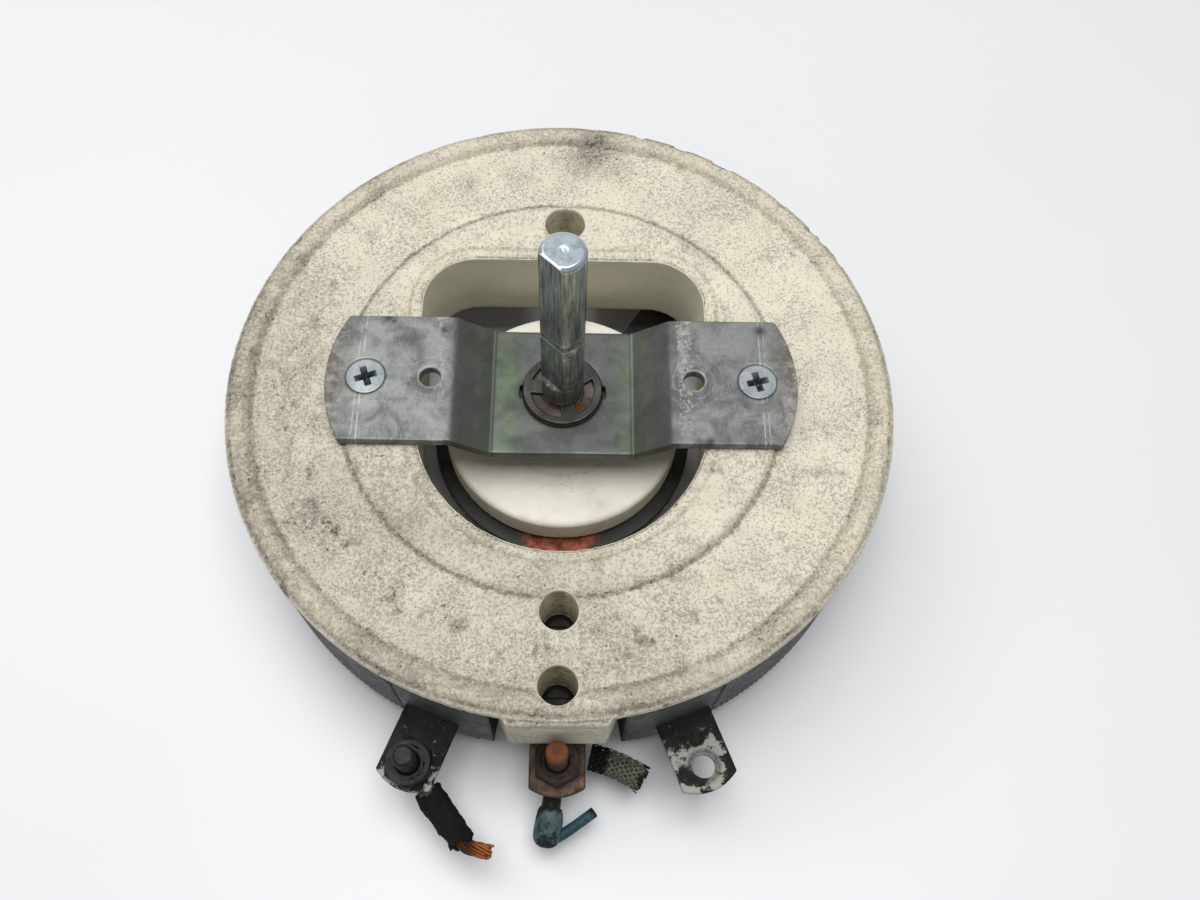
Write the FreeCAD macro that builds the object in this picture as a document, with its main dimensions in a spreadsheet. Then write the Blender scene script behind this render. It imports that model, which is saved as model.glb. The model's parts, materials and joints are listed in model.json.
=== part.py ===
"""Wirewound power rheostat for back-of-panel mounting, as an assembly of separate parts.

The origin is on the shaft axis, in the plane where the mounting bracket's wings meet the
panel.  +Z points out of the panel towards the knob and the terminals are on the -Y side.
Depths are counted downwards from the front face of the ceramic base, which lies one
bracket thickness below the panel plane.  All lengths are millimetres, all angles degrees.
"""
import FreeCAD, Part
import math
import os
import re
import Sketcher

SIZES = {
    # ceramic base
    "base_radius": 76.2,
    "flange_thickness": 4.0,
    "rim_chamfer": 1.6,
    "rim_chamfer_drop": 0.9,
    "rim_bead_radius": 70.6,
    "face_recess": 0.8,
    "pad_radius": 50.0,
    "skirt_gap": 7.0,
    "skirt_depth": 22.0,
    "opening_half_width": 33.3,
    "opening_back": 34.4,
    "opening_arc_offset": 7.0,
    "opening_corner_radius": 12.5,
    "back_hole_y": 45.0,
    "back_hole_radius": 4.9,
    "boss_half_angle": 10.2,
    "boss_shoulder_radius": 73.0,
    "boss_reach": 76.9,
    "boss_nose_half_width": 10.5,
    "stop_inner_x": 7.0,
    "stop_outer_x": 10.6,
    "stop_near": 50.0,
    "stop_far": 61.0,
    "stop_depth": 38.6,
    # wound ring
    "ring_radius": 76.0,
    "ring_inner_radius": 60.0,
    "ring_bottom_depth": 33.0,
    "ring_gap_half_angle": 11.0,
    "cement_thickness": 1.0,
    "cement_inset": 1.0,
    "enamel_thickness": 0.8,
    "enamel_lip": 0.4,
    "end_cap_angle": 1.2,
    "winding_thickness": 1.0,
    "layer_gap": 0.03,
    "band_half_angle": 5.2,
    "winding_start_angle": 27.2,
    # end terminals
    "lug_angle": 21.3,
    "lug_hole_radius_from_axis": 87.3,
    "lug_reach": 92.7,
    "lug_width": 12.7,
    "lug_thickness": 1.6,
    "lug_depth": 22.0,
    "window_overcut": 1.5,
    "lug_window_clearance": 0.2,
    "stud_hole_radius": 2.5,
    # collector ring and centre terminal
    "collector_outer_radius": 31.5,
    "collector_inner_radius": 18.5,
    "collector_thickness": 1.6,
    "spacer_thickness": 3.6,
    "strip_width": 12.4,
    "strip_reach": 87.5,
    "centre_stud_y": 80.3,
    "spacer_near": 48.8,
    "spacer_far": 74.0,
    "strip_flare": 6.0,
    "inner_base_hole_y": 53.3,
    "outer_base_hole_y": 69.0,
    "base_hole_radius": 4.2,
    "base_hole_floor_depth": 17.0,
    "collector_screw_radius": 2.1,
    "collector_screw_head_radius": 3.6,
    "collector_screw_head_height": 2.6,
    "collector_nut_across_flats": 8.7,
    "collector_nut_height": 3.0,
    "collector_screw_spare": 1.6,
    # mounting bracket
    "bracket_thickness": 2.5,
    "bracket_width": 32.0,
    "bracket_half_length": 53.6,
    "bracket_end_radius": 32.0,
    "wing_start": 24.7,
    "centre_plate_half_length": 16.05,
    "bracket_drop": 6.1,
    "bracket_bend_radius": 2.0,
    "bracket_screw_x": 44.45,
    "panel_hole_x": 29.9,
    "panel_hole_radius": 2.4,
    "centre_hole_radius": 9.2,
    "centre_notch_reach": 9.9,
    "centre_notch_width": 3.2,
    "bracket_screw_radius": 2.4,
    "bracket_screw_head_radius": 4.6,
    "screw_sink": 0.05,
    "bracket_screw_head_cone": 2.2,
    "bracket_screw_length": 31.0,
    "bracket_nut_across_flats": 9.5,
    "bracket_nut_height": 3.4,
    "bracket_washer_radius": 5.2,
    "bracket_washer_thickness": 1.0,
    # shaft, bushing and retaining ring
    "shaft_radius": 4.7625,
    "shaft_top": 51.8,
    "shaft_chamfer": 0.7,
    "shaft_end_depth": 42.2,
    "flat_distance": 3.5,
    "flat_direction": -133.0,
    "flat_end": 5.0,
    "flat_groove_width": 0.4,
    "flat_groove_depth": 0.2,
    "bushing_fit": 0.04,
    "bushing_radius": 9.1,
    "bushing_top_depth": 3.2,
    "bushing_flange_radius": 11.5,
    "bushing_flange_thickness": 1.5,
    "bushing_body_radius": 7.5,
    "bushing_end_depth": 14.8,
    "thrust_washer_radius": 9.5,
    "thrust_gap": 0.1,
    "clip_radius": 9.05,
    "clip_thickness": 1.0,
    "clip_window_radius": 7.3,
    "prong_root": 0.5,
    "clip_prong_width": 3.4,
    "clip_mouth_width": 6.4,
    "clip_direction": 105.0,
    "groove_radius": 3.95,
    "groove_gap": 0.05,
    # rotor
    "hub_radius": 28.4,
    "hub_top_depth": 16.3,
    "hub_bottom_depth": 24.2,
    "hub_edge_chamfer": 0.8,
    "hub_boss_radius": 15.0,
    "arm_depth": 33.0,
    "drive_pin_radius": 1.6,
    "drive_pin_depth": 29.6,
    "arm_direction": 57.0,
    "arm_thickness": 1.6,
    "arm_width": 13.0,
    "arm_root_radius": 11.0,
    "arm_tip_radius": 8.5,
    "arm_slope_start": 30.5,
    "arm_slope_end": 42.0,
    "arm_drop": 3.4,
    "clamp_plate_radius": 12.0,
    "clamp_plate_thickness": 1.8,
    "lock_washer_radius": 7.6,
    "lock_washer_thickness": 1.0,
    "shaft_nut_across_flats": 14.3,
    # brush and collector contact
    "brush_radius_from_axis": 68.0,
    "brush_radius": 4.9,
    "brush_height": 5.75,
    "contact_gap": 0.15,
    "holder_fit": 0.05,
    "holder_wall": 0.9,
    "holder_flange_radius": 7.2,
    "holder_flange_thickness": 1.0,
    "holder_end_depth": 42.2,
    "spring_mean_radius": 3.6,
    "spring_wire_radius": 0.2,
    "spring_turns": 3,
    "contact_radius_from_axis": 25.0,
    "contact_radius": 4.0,
    "contact_rivet_radius": 2.0,
    "contact_rivet_head_radius": 3.2,
    "contact_rivet_head_height": 1.0,
    "shunt_radius": 1.1,
    # terminal studs and crimped leads
    "stud_radius": 2.4,
    "stud_top_depth": 11.0,
    "stud_head_radius": 4.4,
    "stud_head_height": 3.2,
    "stud_nut_across_flats": 9.5,
    "stud_nut_height": 3.2,
    "stud_washer_radius": 4.6,
    "stud_washer_thickness": 0.8,
    "tongue_radius": 4.6,
    "tongue_thickness": 1.0,
    "crimp_neck_width": 4.0,
    "crimp_barrel_radius": 2.1,
    "sleeve_radius": 3.1,
    "sleeve_wall_gap": 0.05,
    "wire_radius": 1.2,
    "braid_radius": 3.1,
    "braid_core_radius": 1.6,
    "left_lead_direction": -52.0,
    "left_sleeve_start": 7.0,
    "left_sleeve_length": 11.6,
    "centre_lead_direction": -98.5,
    "centre_lead_tilt": 18.0,
    "centre_sleeve_start": 6.6,
    "centre_sleeve_length": 6.8,
    "sleeve_lap": 1.5,
    "bolt_edge": 0.5,
    "brush_edge": 0.6,
    "small_edge": 0.8,
    "bracket_nut_turn": 12.0,
    "shaft_nut_turn": 10.0,
    "stud_nut_turn": 30.0,
    "fit_clearance": 0.1,
}

# Sizes that follow others: the skirt keeps its gap to the ring, and the collector hangs below the skirt.
TIED = {
    "skirt_radius": "(ring_inner_radius - skirt_gap)",
    "collector_depth": "(skirt_depth + spacer_thickness)",
}

doc = FreeCAD.newDocument("rheostat")
sheet = doc.addObject("Spreadsheet::Sheet", "Sizes")
nodes = []


def fill_sheet():
    """Write every driving size into the sheet, one aliased cell each."""
    for row, (name, value) in enumerate(SIZES.items(), start=1):
        sheet.set(f"A{row}", name)
        sheet.set(f"B{row}", str(value))
        sheet.setAlias(f"B{row}", name)
    doc.recompute()


def expression(text):
    """Turn plain size names into references to the sheet, and spell out the tied ones."""
    def refer(match):
        word = match.group(0)
        if word in TIED:
            return expression(TIED[word])
        return f"Sizes.{word}" if word in SIZES else word
    return re.sub(r"[a-z_]+", refer, text)


def number(text):
    """Present value of an expression, in millimetres or degrees."""
    return float(sheet.evalExpression(expression(text)))


def bind(target, name, text):
    """Tie a property of a document object to the sheet."""
    target.setExpression(name, expression(text))


def level(depth):
    """Height of a plane that lies the given depth below the ceramic face."""
    return f"-(bracket_thickness + {depth})"


def vector(x, y, z):
    return FreeCAD.Vector(number(x), number(y), number(z))


def turned_about_z(angle, base=None):
    """Placement turned about the vertical axis."""
    return FreeCAD.Placement(base or FreeCAD.Vector(), FreeCAD.Rotation(FreeCAD.Vector(0, 0, 1), angle))


def finish_node(obj, name):
    """Give a finished sub-part its name and list it for writing."""
    obj.Label = name
    nodes.append(obj)
    return obj


# ---------------------------------------------------------------- sketches and features

def new_body(name):
    return doc.addObject("PartDesign::Body", name)


def new_sketch(body, name, role="XY_Plane", height="0"):
    """Sketch on one of the body's own origin planes, lifted along its normal."""
    sketch = body.newObject("Sketcher::SketchObject", name)
    plane = next(item for item in body.Origin.OriginFeatures if item.Role == role)
    sketch.AttachmentSupport = [(plane, "")]
    sketch.MapMode = "FlatFace"
    bind(sketch, "AttachmentOffset.Base.z", height)
    return sketch


def dimension(sketch, kind, text, *references):
    """Add one dimension and tie it to the sheet."""
    index = sketch.addConstraint(Sketcher.Constraint(kind, *references, number(text)))
    bind(sketch, f"Constraints[{index}]", text)


def pin_point(sketch, geometry, point, x, y):
    """Fix a point of the sketch by its two coordinates."""
    for kind, text, axis in (("DistanceX", x, -2), ("DistanceY", y, -1)):
        if abs(number(text)) < 1e-9:
            sketch.addConstraint(Sketcher.Constraint("PointOnObject", geometry, point, axis))
        else:
            dimension(sketch, kind, text, -1, 1, geometry, point)


def draw_polygon(sketch, corners):
    """Closed outline of straight lines through the given corners."""
    points = [vector(x, y, "0") for x, y in corners]
    first = sketch.GeometryCount
    count = len(corners)
    for index, start in enumerate(points):
        sketch.addGeometry(Part.LineSegment(start, points[(index + 1) % count]), False)
    for index, (x, y) in enumerate(corners):
        following = first + (index + 1) % count
        sketch.addConstraint(Sketcher.Constraint("Coincident", first + index, 2, following, 1))
        pin_point(sketch, first + index, 1, x, y)


def draw_circle(sketch, x, y, radius):
    circle = Part.Circle(vector(x, y, "0"), FreeCAD.Vector(0, 0, 1), number(radius))
    index = sketch.addGeometry(circle, False)
    pin_point(sketch, index, 3, x, y)
    dimension(sketch, "Radius", radius, index)


def rectangle(x_low, y_low, x_high, y_high):
    return [(x_low, y_low), (x_high, y_low), (x_high, y_high), (x_low, y_high)]


def revolve(body, name, outlines, angle="360"):
    """Turn (radius, height) outlines about the body's Z axis."""
    sketch = new_sketch(body, f"{name}_profile", "XZ_Plane")
    for outline in outlines:
        draw_polygon(sketch, outline)
    feature = body.newObject("PartDesign::Revolution", name)
    feature.Profile = sketch
    feature.ReferenceAxis = (sketch, ["V_Axis"])
    bind(feature, "Angle", angle)
    return feature


def pad(body, name, height, length, polygons=(), circles=()):
    """Raise outlines from the given height by the given length."""
    sketch = new_sketch(body, f"{name}_outline", "XY_Plane", height)
    for corners in polygons:
        draw_polygon(sketch, corners)
    for circle in circles:
        draw_circle(sketch, *circle)
    feature = body.newObject("PartDesign::Pad", name)
    feature.Profile = sketch
    bind(feature, "Length", length)
    return feature


def pocket(body, name, depth, polygons=(), circles=()):
    """Cut outlines down from the panel plane to the given depth below the ceramic face."""
    doc.recompute()
    volume = body.Shape.Volume
    sketch = new_sketch(body, f"{name}_outline")
    for corners in polygons:
        draw_polygon(sketch, corners)
    for circle in circles:
        draw_circle(sketch, *circle)
    feature = body.newObject("PartDesign::Pocket", name)
    feature.Profile = sketch
    bind(feature, "Length", f"bracket_thickness + {depth}")
    doc.recompute()
    if body.Shape.Volume >= volume:
        raise RuntimeError(f"{name} removes nothing from {body.Label}")
    return feature


def turned_node(name, outline, placement=None):
    """Sub-part turned about its own vertical axis from one (radius, height) outline."""
    body = new_body(name)
    revolve(body, f"{name}_turning", [outline])
    if placement:
        body.Placement = placement
    return finish_node(body, name)


def washer_outline(inner, outer, top, bottom):
    return rectangle(inner, bottom, outer, top)


# ---------------------------------------------------------------- primitives and booleans

def cylinder(name, radius, height, base=("0", "0", "0")):
    solid = doc.addObject("Part::Cylinder", name)
    bind(solid, "Radius", radius)
    bind(solid, "Height", height)
    for axis, text in zip("xyz", base):
        bind(solid, f"Placement.Base.{axis}", text)
    return solid


def box(name, low, high):
    """Box between two corners given as expressions."""
    solid = doc.addObject("Part::Box", name)
    for size, axis, low_text, high_text in zip(("Length", "Width", "Height"), "xyz", low, high):
        bind(solid, size, f"({high_text}) - ({low_text})")
        bind(solid, f"Placement.Base.{axis}", low_text)
    return solid


def cut(name, base, tool):
    result = doc.addObject("Part::Cut", name)
    result.Base = base
    result.Tool = tool
    return result


def fuse(name, *shapes):
    result = doc.addObject("Part::MultiFuse", name)
    result.Shapes = list(shapes)
    return result


def turned(name, shape, angle):
    """The same shape turned about the vertical axis."""
    group = doc.addObject("Part::Compound", name)
    group.Links = [shape]
    group.Placement = turned_about_z(angle)
    return group


def common(name, *shapes):
    result = doc.addObject("Part::MultiCommon", name)
    result.Shapes = list(shapes)
    return result


def hex_nut(name, across_flats, hole_radius, bottom, height, base=("0", "0"), turn=0.0):
    """Hexagon nut with a plain bore, its flats bound to the width across them."""
    prism = doc.addObject("Part::Prism", f"{name}_prism")
    prism.Polygon = 6
    bind(prism, "Circumradius", f"({across_flats}) / sqrt(3)")
    bind(prism, "Height", height)
    bore = cylinder(f"{name}_bore", hole_radius, f"({height}) + 2", ("0", "0", "-1"))
    nut = cut(name, prism, bore)
    place = vector(base[0], base[1], bottom)
    nut.Placement = turned_about_z(turn, place)
    return finish_node(nut, name)


# ---------------------------------------------------------------- ceramic base

def boss_side(radius, side):
    """Point where a side of the front boss crosses the given radius."""
    return (f"{side} * {radius} * sin(boss_half_angle)", f"-{radius} * cos(boss_half_angle)")


def make_base():
    """Ceramic base: flange with raised pad and rim, skirt, front boss, stops and openings."""
    body = new_body("ceramic_base")
    blank_radius = "opening_half_width / 2"
    revolve(body, "base_turning", [[
        (blank_radius, level("0")),
        ("pad_radius", level("0")),
        ("pad_radius", level("face_recess")),
        ("rim_bead_radius", level("face_recess")),
        ("rim_bead_radius + face_recess", level("0")),
        ("base_radius - rim_chamfer", level("0")),
        ("base_radius", level("rim_chamfer_drop")),
        ("base_radius", level("flange_thickness")),
        ("skirt_radius", level("flange_thickness")),
        ("skirt_radius", level("skirt_depth")),
        (blank_radius, level("skirt_depth")),
    ]])
    boss = [boss_side("pad_radius", 1), boss_side("boss_shoulder_radius", 1),
            ("boss_nose_half_width", "-boss_reach"), ("-boss_nose_half_width", "-boss_reach"),
            boss_side("boss_shoulder_radius", -1), boss_side("pad_radius", -1)]
    pad(body, "front_boss", level("skirt_depth"), "skirt_depth - flange_thickness / 2", [boss])
    stops = [rectangle("stop_inner_x", "-stop_far", "stop_outer_x", "-stop_near"),
             rectangle("-stop_outer_x", "-stop_far", "-stop_inner_x", "-stop_near")]
    pad(body, "rotation_stops", level("stop_depth"), "stop_depth - skirt_depth + 1", stops)
    through = "skirt_depth + 1"
    corner_x = "opening_half_width - opening_corner_radius"
    corner_y = "opening_back - opening_corner_radius"
    pocket(body, "opening_arc", through,
           circles=[("0", "-opening_arc_offset", "opening_half_width")])
    pocket(body, "opening_middle", through, [rectangle(
        "-opening_half_width", "-opening_arc_offset", "opening_half_width", corner_y)])
    pocket(body, "opening_back_edge", through, [rectangle(
        f"-({corner_x})", corner_y, corner_x, "opening_back")])
    for side, sign in (("right", ""), ("left", "-")):
        pocket(body, f"opening_{side}_corner", through,
               circles=[(f"{sign}({corner_x})", corner_y, "opening_corner_radius")])
    pocket(body, "back_hole", through, circles=[("0", "back_hole_y", "back_hole_radius")])
    pocket(body, "collector_counterbores", "base_hole_floor_depth", circles=[
        ("0", "-inner_base_hole_y", "base_hole_radius"),
        ("0", "-outer_base_hole_y", "base_hole_radius")])
    pocket(body, "collector_screw_holes", through, circles=[
        ("0", "-inner_base_hole_y", "collector_screw_radius + fit_clearance"),
        ("0", "-outer_base_hole_y", "collector_screw_radius + fit_clearance")])
    pocket(body, "bracket_screw_holes", through, circles=[
        ("bracket_screw_x", "0", "bracket_screw_radius + fit_clearance"),
        ("-bracket_screw_x", "0", "bracket_screw_radius + fit_clearance")])
    return finish_node(body, "ceramic_base")


# ---------------------------------------------------------------- wound ring

def ring_sector(name, outlines, half_gap):
    """Open ring with the given section, leaving a gap of two half angles at the front."""
    body = new_body(name)
    revolve(body, f"{name}_turning", outlines, f"360 - 2 * ({half_gap})")
    body.Placement = turned_about_z(number(half_gap) - 90)
    return body


def layer_outline(inset, bottom_depth):
    """Rectangle inside the ring's section, inset by the layers outside it."""
    return rectangle(f"ring_inner_radius + {inset}", level(bottom_depth),
                     f"ring_radius - ({inset})",
                     level(f"flange_thickness + cement_thickness + {inset}"))


ENAMEL_INSET = "(enamel_thickness + layer_gap)"
CORE_INSET = "(enamel_thickness + winding_thickness + 2 * layer_gap)"
CORE_BOTTOM = "ring_bottom_depth - winding_thickness - layer_gap"


def make_ring():
    """Cement bed, ceramic core, winding, and the enamel coat that is open along the track."""
    cement = ring_sector("cement_bed", [rectangle(
        "ring_inner_radius + cement_inset", level("flange_thickness + cement_thickness - layer_gap"),
        "ring_radius - cement_inset", level("flange_thickness + layer_gap"))], "ring_gap_half_angle")
    finish_node(cement, "cement_bed")

    core_gap = "ring_gap_half_angle + end_cap_angle"
    core = ring_sector("winding_core", [layer_outline(CORE_INSET, CORE_BOTTOM)], core_gap)
    finish_node(core, "winding_core")

    core_skin = f"({CORE_INSET} - layer_gap)"
    sleeve = [layer_outline(ENAMEL_INSET, "ring_bottom_depth"),
              layer_outline(core_skin, "ring_bottom_depth - winding_thickness")]
    winding = ring_sector("resistance_winding", sleeve, "winding_start_angle")
    finish_node(winding, "resistance_winding")

    coat = ring_sector("enamel_blank", [layer_outline("0", "ring_bottom_depth - enamel_lip")],
                       "ring_gap_half_angle")
    hollow = ring_sector("enamel_hollow", [layer_outline("enamel_thickness", "ring_bottom_depth + 1")],
                         "ring_gap_half_angle + end_cap_angle - layer_gap")
    windows = []
    half = "(lug_width / 2 + lug_window_clearance)"
    window_bottom = level("lug_depth + lug_thickness + lug_window_clearance")
    window_top = level("lug_depth - lug_window_clearance")
    for side, sign in (("left", -1), ("right", 1)):
        window = box(f"enamel_{side}_window",
                     (f"-{half}", "-ring_radius - 2", window_bottom),
                     (half, "-ring_radius + enamel_thickness + window_overcut", window_top))
        windows.append(turned(f"enamel_{side}_window_turned", window, sign * number("lug_angle")))
    opened = cut("enamel_open_coat", coat, fuse("enamel_cuts", hollow, *windows))
    finish_node(opened, "enamel_coat")
    return sleeve


def make_end_terminal(side, sign, sleeve):
    """Metal band round the ring's end with its flat lug, made at the front and turned round."""
    band = new_body(f"{side}_band")
    revolve(band, f"{side}_band_turning", sleeve, "2 * band_half_angle")
    band.Placement = turned_about_z(-90 - number("band_half_angle"))
    root = f"ring_radius - {ENAMEL_INSET} - winding_thickness / 2"
    low, high = level("lug_depth + lug_thickness"), level("lug_depth")
    plate = box(f"{side}_lug_plate", ("-lug_width / 2", "-lug_reach - 5", low),
                ("lug_width / 2", f"-({root})", high))
    trim = cylinder(f"{side}_lug_trim", "lug_reach", "lug_thickness + 2",
                    ("0", "0", f"{low} - 1"))
    lug = common(f"{side}_lug", plate, trim)
    hole = cylinder(f"{side}_lug_hole", "stud_hole_radius", "lug_thickness + 2",
                    ("0", "-lug_hole_radius_from_axis", f"{low} - 1"))
    terminal = cut(f"{side}_terminal_solid", fuse(f"{side}_terminal_blank", band, lug), hole)
    terminal.Placement = turned_about_z(sign * number("lug_angle"))
    finish_node(terminal, f"{side}_end_terminal")


# ---------------------------------------------------------------- collector and centre terminal

def make_collector():
    """Flat collector ring with the radial strip that ends in the centre terminal lug."""
    body = new_body("collector_ring")
    low = level("collector_depth + collector_thickness")
    pad(body, "collector_annulus", low, "collector_thickness",
        circles=[("0", "0", "collector_outer_radius"), ("0", "0", "collector_inner_radius")])
    half = "strip_width / 2"
    root = "(collector_inner_radius + collector_outer_radius) / 2"
    end_shoulder = "sqrt(strip_end_squared)".replace(
        "strip_end_squared", "strip_reach * strip_reach - strip_width * strip_width / 4")
    pad(body, "collector_strip", low, "collector_thickness", [[
        (half, f"-({root})"), (f"-({half})", f"-({root})"),
        (f"-({half})", f"-({end_shoulder})"), ("0", "-strip_reach"), (half, f"-({end_shoulder})")]])
    flare = [(f"{half} + strip_flare", "-sqrt(collector_outer_radius * collector_outer_radius"
              f" - ({half} + strip_flare) * ({half} + strip_flare)) + 1"),
             (f"-({half} + strip_flare)", "-sqrt(collector_outer_radius * collector_outer_radius"
              f" - ({half} + strip_flare) * ({half} + strip_flare)) + 1"),
             (f"-({half})", "-collector_outer_radius - strip_flare"),
             (half, "-collector_outer_radius - strip_flare")]
    pad(body, "collector_flare", low, "collector_thickness", [flare])
    hole = "collector_screw_radius + fit_clearance"
    pocket(body, "collector_holes", "collector_depth + collector_thickness + 1", circles=[
        ("0", "-inner_base_hole_y", hole), ("0", "-outer_base_hole_y", hole),
        ("0", "-centre_stud_y", "stud_hole_radius")])
    finish_node(body, "collector_ring")

    spacer = new_body("collector_spacer")
    bottom = level("collector_depth")
    pad(spacer, "spacer_block", bottom, "spacer_thickness", [rectangle(
        f"-({half})", "-spacer_far", half, "-spacer_near")])
    pocket(spacer, "spacer_holes", "collector_depth + 1", circles=[
        ("0", "-inner_base_hole_y", hole), ("0", "-outer_base_hole_y", hole)])
    finish_node(spacer, "collector_spacer")


def make_collector_fastener(place, y):
    """Screw in a base counterbore, with its nut under the collector strip."""
    base = FreeCAD.Vector(0, -number(y), 0)
    head_bottom = level("base_hole_floor_depth")
    end = "collector_depth + collector_thickness + collector_nut_height + collector_screw_spare"
    turned_node(f"{place}_collector_screw", [
        ("0", f"{head_bottom} + collector_screw_head_height"),
        ("collector_screw_head_radius", f"{head_bottom} + collector_screw_head_height"),
        ("collector_screw_head_radius", head_bottom),
        ("collector_screw_radius", head_bottom),
        ("collector_screw_radius", level(end)),
        ("0", level(end))], FreeCAD.Placement(base, FreeCAD.Rotation()))
    hex_nut(f"{place}_collector_nut", "collector_nut_across_flats",
            "collector_screw_radius + fit_clearance / 2",
            level("collector_depth + collector_thickness + collector_nut_height"),
            "collector_nut_height", ("0", f"-{y}"))


# ---------------------------------------------------------------- mounting bracket

def bracket_profile():
    """Side view of the bent strip: wings on the ceramic face, lower plate in the middle."""
    outer, bend, inner = "bracket_half_length", "wing_start", "centre_plate_half_length"
    run = f"({bend} - {inner})"
    slope = f"sqrt({run} * {run} + bracket_drop * bracket_drop)"
    shift = f"bracket_thickness * ({slope} - {run}) / bracket_drop"
    top = [("0 - " + outer, "0"), ("0 - " + bend, "0"), ("0 - " + inner, "-bracket_drop"),
           (inner, "-bracket_drop"), (bend, "0"), (outer, "0")]
    bottom = [(outer, "-bracket_thickness"), (f"{bend} + {shift}", "-bracket_thickness"),
              (f"{inner} + {shift}", "-bracket_drop - bracket_thickness"),
              (f"-({inner} + {shift})", "-bracket_drop - bracket_thickness"),
              (f"-({bend} + {shift})", "-bracket_thickness"),
              ("0 - " + outer, "-bracket_thickness")]
    return top + bottom


def bend_edges(shape):
    """Names of the edges that run across the strip at its bends."""
    limit = number("(wing_start + bracket_half_length) / 2")
    names = []
    for index, edge in enumerate(shape.Edges, start=1):
        start, end = edge.Vertexes[0].Point, edge.Vertexes[-1].Point
        crosses = abs(start.x - end.x) < 1e-6 and abs(start.z - end.z) < 1e-6
        if crosses and abs(start.x) < limit:
            names.append(f"Edge{index}")
    return names


def make_bracket():
    """Bent steel strip with round ends, countersunk and tapped holes and a keyed centre hole."""
    body = new_body("bracket_strip")
    sketch = new_sketch(body, "bracket_side_view", "XZ_Plane")
    draw_polygon(sketch, bracket_profile())
    strip = body.newObject("PartDesign::Pad", "bracket_width_pad")
    strip.Profile = sketch
    strip.Midplane = True
    bind(strip, "Length", "bracket_width")
    doc.recompute()
    bends = body.newObject("PartDesign::Fillet", "bracket_bends")
    bends.Base = (strip, bend_edges(strip.Shape))
    bind(bends, "Radius", "bracket_bend_radius")

    low = level("bracket_drop + 1")
    tall = "bracket_thickness + bracket_drop + 2"
    offset = "bracket_half_length - bracket_end_radius"
    ends = fuse("bracket_plan",
                cylinder("bracket_right_end", "bracket_end_radius", tall, (offset, "0", low)),
                cylinder("bracket_left_end", "bracket_end_radius", tall, (f"-({offset})", "0", low)))
    blank = common("bracket_blank", body, ends)
    tools = [cylinder("bracket_centre_hole", "centre_hole_radius", tall, ("0", "0", low)),
             box("bracket_notches", ("-centre_notch_reach", "-centre_notch_width / 2", low),
                 ("centre_notch_reach", "centre_notch_width / 2", "0"))]
    for side, sign in (("right", ""), ("left", "-")):
        tools.append(cylinder(f"{side}_panel_hole", "panel_hole_radius", tall,
                              (f"{sign}panel_hole_x", "0", low)))
        tools.append(cylinder(f"{side}_screw_hole", "bracket_screw_radius + fit_clearance", tall,
                              (f"{sign}bracket_screw_x", "0", low)))
        sink = doc.addObject("Part::Cone", f"{side}_countersink")
        bind(sink, "Radius1", "bracket_screw_radius + fit_clearance")
        bind(sink, "Radius2", "bracket_screw_head_radius + fit_clearance")
        bind(sink, "Height", "bracket_screw_head_cone")
        bind(sink, "Placement.Base.x", f"{sign}bracket_screw_x")
        bind(sink, "Placement.Base.z", "-bracket_screw_head_cone")
        tools.append(sink)
    finish_node(cut("bracket_solid", blank, fuse("bracket_holes", *tools)), "mounting_bracket")


def make_bracket_fastener(side, sign):
    """Flat-head screw through a wing and the base, with its washer and nut behind."""
    place = FreeCAD.Placement(FreeCAD.Vector(sign * number("bracket_screw_x"), 0, 0), FreeCAD.Rotation())
    sunk = "-screw_sink"
    turned_node(f"{side}_bracket_screw", [
        ("0", sunk), ("bracket_screw_head_radius", sunk),
        ("bracket_screw_radius", f"{sunk} - bracket_screw_head_cone"),
        ("bracket_screw_radius", "-bracket_screw_length"), ("0", "-bracket_screw_length")], place)
    gap = "bracket_screw_radius + fit_clearance"
    washer_bottom = "skirt_depth + bracket_washer_thickness"
    turned_node(f"{side}_bracket_washer", washer_outline(
        gap, "bracket_washer_radius", level("skirt_depth"), level(washer_bottom)), place)
    hex_nut(f"{side}_bracket_nut", "bracket_nut_across_flats",
            "bracket_screw_radius + fit_clearance / 2",
            level(f"{washer_bottom} + bracket_nut_height"), "bracket_nut_height",
            (f"{sign} * bracket_screw_x", "0"), turn=number("bracket_nut_turn") * sign)


# ---------------------------------------------------------------- shaft and its bearing

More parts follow.
